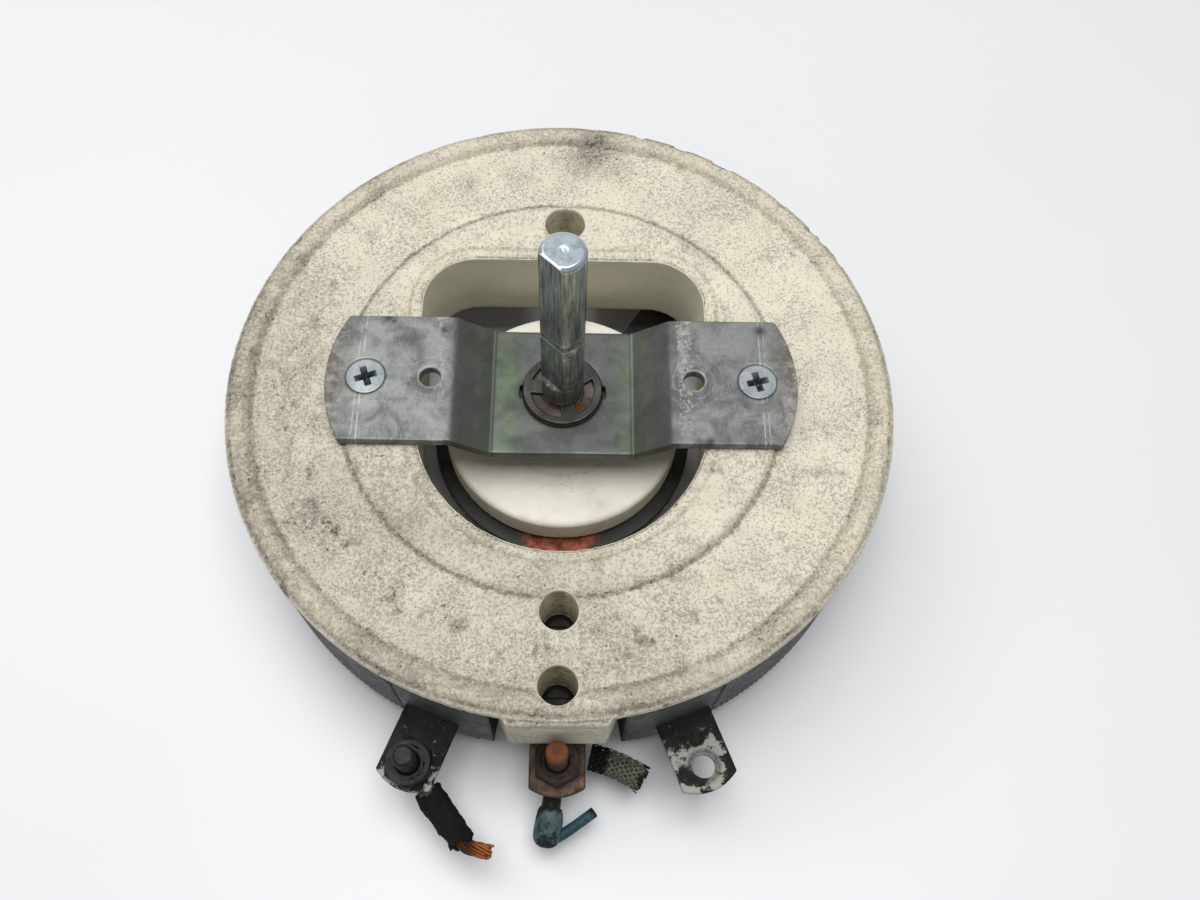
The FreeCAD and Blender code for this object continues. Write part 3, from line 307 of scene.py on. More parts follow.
def hex_nut(node, name):
    """A six-sided nut with chamfered corners and a countersunk, threaded bore."""
    centre, bore, corner_radius, low, high, corner = round_facts(node)
    flat = corner_radius * math.cos(math.pi / 6)
    sink = 0.35 * MM
    drop = (corner_radius - flat) * 0.75
    pitch = 0.8 * MM

    def shape(angle, r, z):
        if r < flat * 0.8:
            if low + sink < z < high - sink:
                turn_share = (z / pitch + angle / TAU) % 1
                return r + 0.12 * MM * (1 - abs(2 * turn_share - 1))
            return r
        sector = (angle - corner) % (math.pi / 3) - math.pi / 6
        side = flat / math.cos(sector)
        inset = min(z - low, high - z)
        slope = flat * 0.985 + inset / max(drop, 1e-6) * (corner_radius - flat)
        return min(r / corner_radius * side, max(slope, 0))

    outline = [(bore, low + sink), (bore + sink, low), (flat * 0.985, low),
               (corner_radius, low + 0.06 * MM), (corner_radius, high - 0.06 * MM),
               (flat * 0.985, high), (bore + sink, high), (bore, high - sink)]
    fine = finer(outline, 0.16 * MM)
    return lathe(name, fine, 96, centre, shape, turn=corner)


def thread(start, end, pitch, depth, core):
    """Radius change for a screw thread between two heights, on walls near the core radius."""
    def shape(angle, r, z):
        if start < z < end and abs(r - core) < 0.3 * MM:
            share = (z / pitch + angle / TAU) % 1
            fade = min(1, (z - start) / pitch, (end - z) / pitch)
            return r - depth * fade * abs(2 * share - 1)
        return r
    return shape


def grid_frame(points):
    """A steady frame of tangent, side and up at each point of a line."""
    result = []
    side = None
    for i, p in enumerate(points):
        ahead = (points[min(i + 1, len(points) - 1)] - points[max(i - 1, 0)]).normalized()
        if side is None:
            side = ahead.cross(Vector((0, 0, 1)) if abs(ahead.z) < 0.9 else Vector((1, 0, 0))).normalized()
        side = (side - ahead * side.dot(ahead)).normalized()
        result.append((p, ahead, side, ahead.cross(side)))
    return result


def smooth_line(points, count):
    """Points along a curve that passes smoothly near the given corners."""
    curve = bpy.data.curves.new("route", "CURVE")
    curve.dimensions = "3D"
    spline = curve.splines.new("NURBS")
    spline.points.add(len(points) - 1)
    for target, p in zip(spline.points, points):
        target.co = (*p, 1)
    spline.order_u = 3
    spline.use_endpoint_u = True
    curve.resolution_u = 24
    helper = bpy.data.objects.new("route", curve)
    mesh = bpy.data.meshes.new_from_object(helper)
    line = [v.co.copy() for v in mesh.vertices]
    bpy.data.objects.remove(helper)
    bpy.data.curves.remove(curve)
    bpy.data.meshes.remove(mesh)
    lengths = [0.0]
    for a, b in zip(line, line[1:]):
        lengths.append(lengths[-1] + (b - a).length)
    even = []
    for i in range(count):
        want = lengths[-1] * i / (count - 1)
        k = max(j for j in range(len(lengths)) if lengths[j] <= want + 1e-12)
        k = min(k, len(line) - 2)
        share = (want - lengths[k]) / max(lengths[k + 1] - lengths[k], 1e-12)
        even.append(line[k].lerp(line[k + 1], min(share, 1)))
    return even


def tube(name, points, radius, sides=16, shape=None, cap=True):
    """A closed round bar along points; shape(t, angle) scales its radius."""
    verts, faces = [], []
    frames = grid_frame(points)
    for i, (p, _, side, up) in enumerate(frames):
        t = i / (len(frames) - 1)
        for k in range(sides):
            a = TAU * k / sides
            r = radius * (shape(t, a) if shape else 1)
            verts.append(p + side * (r * math.cos(a)) + up * (r * math.sin(a)))
    for i in range(len(frames) - 1):
        for k in range(sides):
            n = (k + 1) % sides
            faces.append((i * sides + k, i * sides + n, (i + 1) * sides + n, (i + 1) * sides + k))
    if cap:
        for ring, flip in ((0, False), (len(frames) - 1, True)):
            middle = len(verts)
            verts.append(frames[ring][0])
            for k in range(sides):
                n = (k + 1) % sides
                pair = (ring * sides + n, ring * sides + k)
                faces.append((*(pair[::-1] if flip else pair), middle))
    return mesh_object(name, verts, faces)


def sleeve(name, points, outer, inner, sides=40, wall=None, ragged=None):
    """An open-ended pipe along points. wall(t, angle) scales both radii, ragged(end, angle) moves its ends."""
    frames = grid_frame(points)
    last = len(frames) - 1
    verts, faces = [], []
    for size in (outer, inner):
        for i, (p, ahead, side, up) in enumerate(frames):
            t = i / last
            for k in range(sides):
                a = TAU * k / sides
                r = size * (wall(t, a) if wall else 1)
                along = 0.0
                if ragged:
                    along = ragged(0, a) * (1 - t) ** 3 + ragged(1, a) * t ** 3
                verts.append(p + ahead * along + side * (r * math.cos(a)) + up * (r * math.sin(a)))
    count = len(frames) * sides
    for i in range(last):
        for k in range(sides):
            n = (k + 1) % sides
            a, b, c, d = i * sides + k, i * sides + n, (i + 1) * sides + n, (i + 1) * sides + k
            faces.append((a, b, c, d))
            faces.append((count + d, count + c, count + b, count + a))
    for k in range(sides):
        n = (k + 1) % sides
        faces.append((n, k, count + k, count + n))
        end = last * sides
        faces.append((end + k, end + n, count + end + n, count + end + k))
    return mesh_object(name, verts, faces)


def axis_of(node):
    """End points, radius and length of a CAD node that is one straight pipe or bar."""
    co = points_of(nodes[node])
    middle = (co.max(0) + co.min(0)) / 2
    _, _, rows = np.linalg.svd(co - co.mean(0), full_matrices=False)
    along = rows[0]
    reach = (co - middle) @ along
    radius = np.linalg.norm((co - middle) - np.outer(reach, along), axis=1).max()
    start = Vector(middle + along * reach.min())
    end = Vector(middle + along * reach.max())
    if start.y < end.y:
        start, end = end, start
    return start, end, radius


# ---------------------------------------------------------------- materials

class Paint:
    """One node material, written from its parts. Noise sizes are in metres on the object."""

    def __init__(self, name):
        self.material = bpy.data.materials.new(name)
        self.material.use_nodes = True
        self.tree = self.material.node_tree
        self.tree.nodes.clear()
        self.output = self.tree.nodes.new("ShaderNodeOutputMaterial")
        self.shader = self.tree.nodes.new("ShaderNodeBsdfPrincipled")
        self.tree.links.new(self.shader.outputs[0], self.output.inputs[0])
        self.place = self.tree.nodes.new("ShaderNodeTexCoord").outputs["Object"]

    def put(self, socket, value):
        if isinstance(value, bpy.types.NodeSocket):
            self.tree.links.new(value, socket)
        elif isinstance(value, tuple) and len(value) == 3 and socket.type == "RGBA":
            socket.default_value = (*value, 1)
        else:
            socket.default_value = value

    def set(self, **values):
        for name, value in values.items():
            self.put(self.shader.inputs[name.replace("_", " ")], value)
        return self

    def noise(self, size, detail=4.0, rough=0.6, distort=0.0, stretch=None, seed=0.0):
        """Noise from 0 to 1 with features of about the given size."""
        place = self.place
        if stretch or seed:
            mapping = self.tree.nodes.new("ShaderNodeMapping")
            mapping.inputs["Scale"].default_value = stretch or (1, 1, 1)
            mapping.inputs["Location"].default_value = (seed, seed * 0.7, seed * 1.3)
            self.tree.links.new(place, mapping.inputs[0])
            place = mapping.outputs[0]
        node = self.tree.nodes.new("ShaderNodeTexNoise")
        node.inputs["Scale"].default_value = 1 / size
        node.inputs["Detail"].default_value = detail
        node.inputs["Roughness"].default_value = rough
        node.inputs["Distortion"].default_value = distort
        self.tree.links.new(place, node.inputs["Vector"])
        return node.outputs["Fac"]

    def cells(self, size, feature="F1", seed=0.0):
        """Distance pattern of scattered cells of about the given size."""
        mapping = self.tree.nodes.new("ShaderNodeMapping")
        mapping.inputs["Location"].default_value = (seed, seed, seed)
        self.tree.links.new(self.place, mapping.inputs[0])
        node = self.tree.nodes.new("ShaderNodeTexVoronoi")
        node.feature = feature
        node.inputs["Scale"].default_value = 1 / size
        self.tree.links.new(mapping.outputs[0], node.inputs["Vector"])
        return node.outputs["Distance"]

    def attribute(self, name):
        node = self.tree.nodes.new("ShaderNodeAttribute")
        node.attribute_name = name
        return node.outputs["Fac"]

    def axis(self, letter):
        node = self.tree.nodes.new("ShaderNodeSeparateXYZ")
        self.tree.links.new(self.place, node.inputs[0])
        return node.outputs[letter]

    def calc(self, operation, a, b=0.0, c=0.0):
        node = self.tree.nodes.new("ShaderNodeMath")
        node.operation = operation
        self.put(node.inputs[0], a)
        self.put(node.inputs[1], b)
        self.put(node.inputs[2], c)
        return node.outputs[0]

    def band(self, value, low, high, to_low=0.0, to_high=1.0):
        """Smooth ramp of value from low to high."""
        node = self.tree.nodes.new("ShaderNodeMapRange")
        node.interpolation_type = "SMOOTHSTEP"
        self.put(node.inputs["Value"], value)
        node.inputs["From Min"].default_value = low
        node.inputs["From Max"].default_value = high
        node.inputs["To Min"].default_value = to_low
        node.inputs["To Max"].default_value = to_high
        return node.outputs["Result"]

    def near(self, value, middle, width):
        """1 where value is at middle, fading to 0 at that distance from it."""
        return self.band(self.calc("ABSOLUTE", self.calc("SUBTRACT", value, middle)), 0.0, width, 1.0, 0.0)

    def mix(self, share, a, b, mode="MIX"):
        node = self.tree.nodes.new("ShaderNodeMix")
        node.data_type = "RGBA"
        node.blend_type = mode
        self.put(node.inputs[0], share)
        self.put(node.inputs[6], a)
        self.put(node.inputs[7], b)
        return node.outputs[2]

    def bump(self, height, strength, depth, under=None):
        node = self.tree.nodes.new("ShaderNodeBump")
        node.inputs["Strength"].default_value = strength
        node.inputs["Distance"].default_value = depth
        self.tree.links.new(height, node.inputs["Height"])
        if under is not None:
            self.tree.links.new(under, node.inputs["Normal"])
        return node.outputs[0]


def porcelain(name, body, grime_and_shade, sand_share, pit_share, warm=(0.50, 0.37, 0.24)):
    """Unglazed porcelain: dense sandy specks, dark pits, warm stains, and grime where it gathers, with painted shade
    mixed in the same way.
    """
    p = Paint(name)
    dirt_and_shade = p.attribute("grime_and_shade")
    tone = p.mix(p.band(p.noise(11 * MM, 5, seed=0.6), 0.35, 0.65), body, tuple(c * 0.90 for c in body))
    stain = p.calc("MAXIMUM", p.band(p.noise(19 * MM, 4, seed=3.1), 0.50, 0.72, 0.0, 0.30), p.attribute("rust"))
    tone = p.mix(p.calc("MULTIPLY", stain, p.band(p.noise(1.4 * MM, 4, 0.7, seed=6.6), 0.32, 0.62)), tone, warm)
    patches = p.band(p.noise(12 * MM, 4, 0.65, seed=5.3), 0.34, 0.68, -0.045, 0.04)
    glaze = p.attribute("glaze")
    crowd = p.calc("ADD", patches, p.calc("SUBTRACT", p.calc("MULTIPLY", dirt_and_shade, 0.07), p.calc("MULTIPLY", glaze, 0.2)))
    sand = p.noise(0.62 * MM, 3, 0.8, seed=1.7)
    grains = p.band(p.calc("ADD", sand, crowd), sand_share, sand_share + 0.10)
    tone = p.mix(p.calc("MULTIPLY", grains, 0.70), tone, tuple(c * 0.42 for c in body))
    light = p.band(p.noise(0.7 * MM, 3, 0.75, seed=9.9), 0.56, 0.68, 0.0, 0.5)
    tone = p.mix(light, tone, tuple(min(1.0, c * 1.12) for c in body))
    speck = p.noise(1.0 * MM, 5, 0.82, seed=8.2)
    pits = p.band(p.calc("ADD", speck, crowd), pit_share, pit_share + 0.05)
    deep = p.band(p.calc("ADD", p.noise(3.0 * MM, 5, 0.75, seed=2.2), p.calc("MULTIPLY", dirt_and_shade, 0.05)), 0.70, 0.74)
    pits = p.calc("MAXIMUM", pits, deep)
    tone = p.mix(glaze, tone, p.mix(p.noise(6 * MM, 3, stretch=(1, 1, 0.4)), (0.90, 0.85, 0.68), (0.78, 0.74, 0.57)))
    # Painted shade stored with the grime darkens the porcelain here too.
    smear_and_shade = p.calc("MULTIPLY", dirt_and_shade, p.band(p.noise(1.6 * MM, 6, 0.8, seed=4.4), 0.30, 0.62, 0.25, 1.0))
    tone = p.mix(p.calc("MULTIPLY", smear_and_shade, 0.85), tone, grime_and_shade)
    tone = p.mix(p.calc("MULTIPLY", pits, 0.85), tone, tuple(c * 0.5 for c in grime_and_shade))
    relief = p.calc("SUBTRACT", p.calc("MULTIPLY", light, 0.4), p.calc("ADD", p.calc("MULTIPLY", grains, 0.5), pits))
    p.set(Base_Color=tone, Roughness=p.band(sand, 0.3, 0.7, 0.95, 0.75), Normal=p.bump(relief, 0.7, 0.14 * MM))
    p.shader.inputs["Specular IOR Level"].default_value = 0.25
    return p.material


def worn_metal(name, light, dark, rough=(0.32, 0.6), metallic=0.85, brushed=None, blotch=6 * MM,
               oxide=None, oxide_share=0.0, rust=None, rust_share=0.0, pit=0.5, seed=0.0):
    """Old plated metal: clouded tone, fine scratches, pale oxide and rust, and grime in hollows."""
    p = Paint(name)
    cloud = p.noise(blotch, 6, 0.62, 0.4, seed=seed + 1.1)
    tone = p.mix(p.band(cloud, 0.3, 0.7), light, dark)
    fine = p.noise(0.6 * MM, 5, 0.7, seed=seed + 2.9)
    tone = p.mix(p.band(fine, 0.52, 0.76, 0.0, 0.55), tone, tuple(c * 0.5 for c in dark))
    scratch = p.noise(0.25 * MM, 3, 0.6, stretch=brushed or (1, 1, 1), seed=seed + 0.4)
    tone = p.mix(p.band(scratch, 0.45, 0.75, 0.0, 0.35), tone, tuple(min(1, c * 1.5) for c in light))
    metal = metallic
    roughness = p.band(p.calc("ADD", cloud, p.calc("MULTIPLY", scratch, 0.5)), 0.4, 1.1, rough[0], rough[1])
    if rust:
        share = p.band(p.calc("ADD", p.noise(3.1 * MM, 6, 0.68, seed=seed + 7.7),
                              p.calc("MULTIPLY", p.attribute("rust"), 0.5)),
                       0.95 - rust_share, 1.12 - rust_share)
        rusty = p.mix(p.noise(0.9 * MM, 4, 0.7, seed=seed + 5.0), rust, tuple(c * 0.35 for c in rust))
        tone = p.mix(share, tone, rusty)
        metal = p.calc("MULTIPLY", p.calc("SUBTRACT", 1.0, share), metallic)
        roughness = p.calc("MAXIMUM", roughness, p.calc("MULTIPLY", share, 0.85))
    if oxide:
        share = p.band(p.calc("ADD", p.noise(1.5 * MM, 6, 0.75, seed=seed + 9.2),
                              p.calc("MULTIPLY", p.attribute("oxide"), 0.4)),
                       0.95 - oxide_share, 1.08 - oxide_share)
        tone = p.mix(p.calc("MULTIPLY", share, 0.9), tone, oxide)
        metal = p.calc("MULTIPLY", metal, p.calc("SUBTRACT", 1.0, share))
        roughness = p.calc("MAXIMUM", roughness, p.calc("MULTIPLY", share, 0.8))
    grime_and_shade = p.calc("MULTIPLY", p.attribute("grime_and_shade"), p.band(fine, 0.25, 0.6, 0.6, 1.0))
    tone = p.mix(grime_and_shade, tone, (0.018, 0.017, 0.015))
    roughness = p.calc("MAXIMUM", roughness, p.calc("MULTIPLY", grime_and_shade, 0.8))
    height = p.calc("ADD", p.calc("MULTIPLY", fine, 0.8), p.calc("MULTIPLY", scratch, 0.5))
    p.shader.inputs["Specular IOR Level"].default_value = 0.25
    p.set(Base_Color=tone, Metallic=metal, Roughness=roughness, Normal=p.bump(height, pit, 0.05 * MM))
    return p.material


def enamel_material():
    """Satin black vitreous enamel with dust on its ribs and dull worn patches."""
    p = Paint("black_enamel")
    tone = p.mix(p.noise(7 * MM, 5), (0.040, 0.041, 0.044), (0.075, 0.076, 0.079))
    dust = p.band(p.noise(1.6 * MM, 5, 0.7, seed=4.0), 0.5, 0.8, 0.0, 0.45)
    tone = p.mix(dust, tone, (0.15, 0.147, 0.14))
    tone = p.mix(p.calc("MULTIPLY", p.attribute("grime_and_shade"), 0.9), tone, (0.006, 0.006, 0.006))
    rough = p.band(p.noise(3 * MM, 4, seed=1.0), 0.3, 0.7, 0.46, 0.7)
    p.shader.inputs["Specular IOR Level"].default_value = 0.3
    p.set(Base_Color=tone, Roughness=rough, Normal=p.bump(p.noise(0.7 * MM, 5, 0.7), 0.5, 0.06 * MM))
    return p.material


def winding_material():
    """Oxidised resistance wire, rubbed bright along the brush track."""
    p = Paint("resistance_wire")
    x, y = p.axis("X"), p.axis("Y")
    radius = p.calc("SQRT", p.calc("ADD", p.calc("MULTIPLY", x, x), p.calc("MULTIPLY", y, y)))
    track = p.near(radius, 68 * MM, 5.6 * MM)
    track = p.calc("MULTIPLY", track, p.band(p.noise(2 * MM, 4), 0.25, 0.6, 0.55, 1.0))
    dull = p.mix(p.noise(4 * MM, 5), (0.085, 0.065, 0.052), (0.15, 0.13, 0.115))
    tone = p.mix(track, dull, (0.52, 0.46, 0.38))
    tone = p.mix(p.attribute("grime_and_shade"), tone, (0.012, 0.011, 0.010))
    p.set(Base_Color=tone, Metallic=0.9, Roughness=p.band(track, 0.0, 1.0, 0.62, 0.3),
          Normal=p.bump(p.noise(0.4 * MM, 4), 0.4, 0.04 * MM))
    return p.material


def collector_material():
    """Copper strip: heat-red below the hub, painted near-black shade round its sides, brown-black with rust at the
    terminal.
    """
    p = Paint("collector_copper")
    x, y = p.axis("X"), p.axis("Y")
    cloud = p.noise(3 * MM, 5, 0.65, seed=1.0)
    hot = p.mix(p.band(cloud, 0.35, 0.65), (0.31, 0.075, 0.028), (0.10, 0.026, 0.016))
    # Painted shade: the sides of the strip are near-black, as if shadowed inside the opening.
    near_black = p.mix(p.band(cloud, 0.35, 0.65), (0.020, 0.021, 0.020), (0.040, 0.043, 0.038))
    middle = p.band(p.calc("ADD", p.calc("ABSOLUTE", x), p.calc("MULTIPLY", cloud, 4 * MM)), 8.5 * MM, 12.5 * MM, 1.0, 0.0)
    middle = p.calc("MULTIPLY", middle, p.band(y, -22 * MM, -16 * MM, 1.0, 0.0))
    tone = p.mix(middle, near_black, hot)
    brown = p.mix(p.band(p.noise(1.6 * MM, 5, 0.7, seed=4.0), 0.40, 0.66), (0.060, 0.042, 0.030), (0.022, 0.018, 0.015))
    edge = p.band(p.calc("ABSOLUTE", x), 4.4 * MM, 6.2 * MM)
    rusty = p.calc("MULTIPLY", p.band(edge, 0.0, 1.0, 0.45, 1.0), p.band(p.noise(2.4 * MM, 5, 0.7, seed=7.0), 0.44, 0.62))
    brown = p.mix(rusty, brown, (0.20, 0.085, 0.032))
    terminal = p.band(y, -60 * MM, -50 * MM, 1.0, 0.0)
    tone = p.mix(terminal, tone, brown)
    tone = p.mix(p.calc("MULTIPLY", p.attribute("grime_and_shade"), 0.8), tone, (0.012, 0.011, 0.010))
    p.set(Base_Color=tone, Metallic=0.35, Roughness=p.band(cloud, 0.3, 0.7, 0.5, 0.75),
          Normal=p.bump(p.noise(0.8 * MM, 5, 0.7), 0.7, 0.08 * MM))
    return p.material


def plastic(name, base, shade, rough, dirt_and_shade=(0.02, 0.02, 0.018), dirt_share=0.3, grain=0.5 * MM, seed=0.0):
    """Old insulation: faded colour, grime in patches and a finely grained surface."""
    p = Paint(name)
    tone = p.mix(p.band(p.noise(2.6 * MM, 5, seed=seed), 0.3, 0.7), base, shade)
    grime_and_shade = p.calc("MULTIPLY", p.attribute("grime_and_shade"), 0.5)
    share = p.band(p.calc("ADD", p.noise(1.3 * MM, 5, 0.72, seed=seed + 2), grime_and_shade), 0.86 - dirt_share, 1.05 - dirt_share)
    p.shader.inputs["Specular IOR Level"].default_value = 0.2
    tone = p.mix(share, tone, dirt_and_shade)
    p.set(Base_Color=tone, Roughness=p.band(share, 0.0, 1.0, rough, min(1.0, rough + 0.25)),
          Normal=p.bump(p.noise(grain, 5, 0.7, seed=seed + 4), 0.5, 0.08 * MM))
    return p.material


def bracket_material():
    """Dull zinc-plated strip: clouded grey, green-gold tint at the middle, white oxide by the bends, a painted shadow
    line and painted highlight at the bend creases, and painted shade on down-facing faces.
    """
    p = Paint("bracket_zinc")
    x, y = p.axis("X"), p.axis("Y")
    across = p.calc("ABSOLUTE", x)
    cloud = p.noise(7 * MM, 6, 0.6, 0.6, seed=2.0)
    tone = p.mix(p.band(cloud, 0.34, 0.66), (0.235, 0.246, 0.238), (0.090, 0.097, 0.093))
    grain = p.noise(0.35 * MM, 4, 0.65, stretch=(1.0, 0.2, 1.0), seed=3.0)
    tone = p.mix(p.band(grain, 0.4, 0.72, 0.0, 0.35), tone, (0.30, 0.305, 0.30))
    fine = p.noise(0.7 * MM, 5, 0.72, seed=6.0)
    tone = p.mix(p.band(fine, 0.5, 0.78, 0.0, 0.5), tone, (0.075, 0.075, 0.07))
    green = p.near(x, -13 * MM, 5.5 * MM)
    green = p.calc("MAXIMUM", green, p.calc("MULTIPLY", p.near(x, 15 * MM, 3.5 * MM), 0.8))
    green = p.calc("MULTIPLY", green, p.band(p.noise(6 * MM, 4, seed=7.0), 0.3, 0.62))
    tone = p.mix(p.band(across, 23 * MM, 28 * MM, 0.74, 0.0), tone, (0.062, 0.068, 0.058))
    tone = p.mix(p.calc("MULTIPLY", green, 0.42), tone, (0.115, 0.19, 0.085))
    gold = p.calc("MULTIPLY", p.near(across, 19 * MM, 2.2 * MM), p.band(p.noise(4 * MM, 4, seed=9.0), 0.4, 0.65))
    tone = p.mix(p.calc("MULTIPLY", gold, 0.22), tone, (0.27, 0.235, 0.11))
    bends = p.calc("MULTIPLY", p.near(across, 27.6 * MM, 4.2 * MM), p.band(across, 25.4 * MM, 26.6 * MM))
    ends = p.band(across, 46 * MM, 52 * MM)
    spread = p.calc("MAXIMUM", bends, p.calc("MULTIPLY", ends, 0.72))
    crust = p.calc("ADD", p.noise(1.1 * MM, 6, 0.85, seed=1.0), p.calc("MULTIPLY", spread, 0.15))
    crust = p.calc("ADD", crust, p.band(p.noise(8 * MM, 3, seed=2.5), 0.35, 0.65, -0.05, 0.05))
    oxide = p.calc("MULTIPLY", p.band(crust, 0.60, 0.72), p.band(spread, 0.02, 0.5))
    tone = p.mix(p.calc("MULTIPLY", oxide, 0.75), tone, (0.42, 0.415, 0.395))
    x_from_hole = p.calc("SUBTRACT", across, PANEL_HOLE_X)
    hole = p.calc("SQRT", p.calc("ADD", p.calc("MULTIPLY", x_from_hole, x_from_hole), p.calc("MULTIPLY", y, y)))
    swirl = p.calc("SINE", p.calc("MULTIPLY", p.calc("ADD", hole, p.calc("MULTIPLY", cloud, 3 * MM)), 3.2 / MM))
    swirl = p.calc("MULTIPLY", p.band(swirl, 0.4, 1.0), p.calc("MULTIPLY", p.band(hole, 3 * MM, 9 * MM, 1.0, 0.0), p.band(fine, 0.35, 0.6)))
    tone = p.mix(p.calc("MULTIPLY", swirl, 0.35), tone, (0.40, 0.405, 0.39))
    tone = p.mix(p.calc("MULTIPLY", p.near(hole, 2.6 * MM, 0.5 * MM), 0.5), tone, (0.36, 0.36, 0.34))
    brown = p.calc("MULTIPLY", p.band(across, 46.5 * MM, 51.5 * MM), p.band(p.noise(3 * MM, 5, seed=4.0), 0.38, 0.6))
    tone = p.mix(p.calc("MULTIPLY", brown, 0.7), tone, (0.135, 0.10, 0.075))
    line = p.calc("MAXIMUM", p.near(across, 45.3 * MM, 0.28 * MM), p.near(across, 46.4 * MM, 0.2 * MM))
    line = p.calc("MULTIPLY", line, p.band(p.noise(3 * MM, 3, seed=8.0), 0.4, 0.55))
    tone = p.mix(p.calc("MULTIPLY", line, 0.6), tone, (0.50, 0.50, 0.44))
    # Painted shade in the bend crease, and a painted highlight along the bend edge just outside it.
    crease_shade_line = p.near(across, 15.7 * MM, 0.3 * MM)
    tone = p.mix(p.calc("MULTIPLY", crease_shade_line, 0.7), tone, (0.035, 0.04, 0.033))
    tone = p.mix(p.calc("MULTIPLY", p.near(across, 16.2 * MM, 0.25 * MM), 0.7), tone, (0.24, 0.255, 0.225))
    grime_and_shade = p.attribute("grime_and_shade")
    tone = p.mix(grime_and_shade, tone, (0.02, 0.02, 0.018))
    rough = p.band(cloud, 0.3, 0.7, 0.40, 0.60)
    rough = p.calc("MAXIMUM", rough, p.calc("MULTIPLY", p.calc("MAXIMUM", oxide, brown), 0.8))
    metal = p.calc("MULTIPLY", p.calc("SUBTRACT", 1.0, p.calc("MAXIMUM", oxide, p.calc("MULTIPLY", brown, 0.8))), 0.42)
    height = p.calc("ADD", p.calc("MULTIPLY", fine, 0.6), p.calc("MULTIPLY", grain, 0.4))
    height = p.calc("ADD", height, p.calc("MULTIPLY", oxide, 0.7))
    p.set(Base_Color=tone, Metallic=metal, Roughness=rough, Normal=p.bump(height, 0.55, 0.06 * MM))
    return p.material


def shaft_material():
    """Drawn steel with a painted pale-blue highlight on top, streaked with grease towards its foot."""
    p = Paint("drawn_steel")
    z = p.axis("Z")
    streak = p.noise(0.5 * MM, 4, 0.6, stretch=(1.0, 1.0, 0.08), seed=1.0)
    tone = p.mix(p.band(streak, 0.35, 0.7), (0.52, 0.55, 0.55), (0.15, 0.165, 0.16))
    fine = p.noise(0.8 * MM, 5, 0.7, seed=3.0)
    tone = p.mix(p.band(fine, 0.5, 0.75, 0.0, 0.5), tone, (0.12, 0.12, 0.115))
    foot = p.calc("MULTIPLY", p.band(z, 5 * MM, 21 * MM, 1.0, 0.0), p.band(p.noise(2.6 * MM, 5, seed=5.0), 0.3, 0.6, 0.45, 1.0))
    grime_and_shade = p.calc("MAXIMUM", p.attribute("grime_and_shade"), p.calc("MULTIPLY", foot, 0.8))
    tone = p.mix(grime_and_shade, tone, (0.035, 0.032, 0.027))
    # Painted highlight: the top end is lightened to a pale blue reflection.
    pale = p.calc("MULTIPLY", p.band(z, 48.2 * MM, 49.2 * MM), p.band(p.noise(2.4 * MM, 5, seed=2.0), 0.3, 0.55, 0.5, 1.0))
    tone = p.mix(pale, tone, (0.52, 0.60, 0.635))
    rust = p.calc("MULTIPLY", p.band(z, -2 * MM, 4 * MM, 1.0, 0.0), p.band(p.noise(2 * MM, 5, seed=8.0), 0.45, 0.6))
    tone = p.mix(p.calc("MULTIPLY", rust, 0.8), tone, (0.16, 0.075, 0.035))
    scored = p.calc("MULTIPLY", p.near(z, 20.2 * MM, 1.5 * MM), p.band(p.noise(1.2 * MM, 4, seed=6.0), 0.42, 0.6))
    tone = p.mix(p.calc("MULTIPLY", scored, 0.75), tone, (0.24, 0.11, 0.05))
    lips = p.calc("MAXIMUM", p.near(z, 21.5 * MM, 0.3 * MM), p.near(z, 19.0 * MM, 0.25 * MM))
    tone = p.mix(p.calc("MULTIPLY", lips, p.band(streak, 0.3, 0.55)), tone, (0.72, 0.74, 0.72))
    metal = p.calc("MAXIMUM", p.calc("MULTIPLY", grime_and_shade, 0.7), p.calc("MULTIPLY", pale, 0.5))
    metal = p.calc("MULTIPLY", p.calc("SUBTRACT", 1.0, metal), 0.9)
    rough = p.band(p.calc("ADD", fine, grime_and_shade), 0.4, 1.4, 0.20, 0.75)
    height = p.calc("ADD", p.calc("MULTIPLY", streak, 0.6), p.calc("MULTIPLY", fine, 0.5))
    p.set(Base_Color=tone, Metallic=metal, Roughness=rough, Normal=p.bump(height, 0.5, 0.05 * MM))
    return p.material


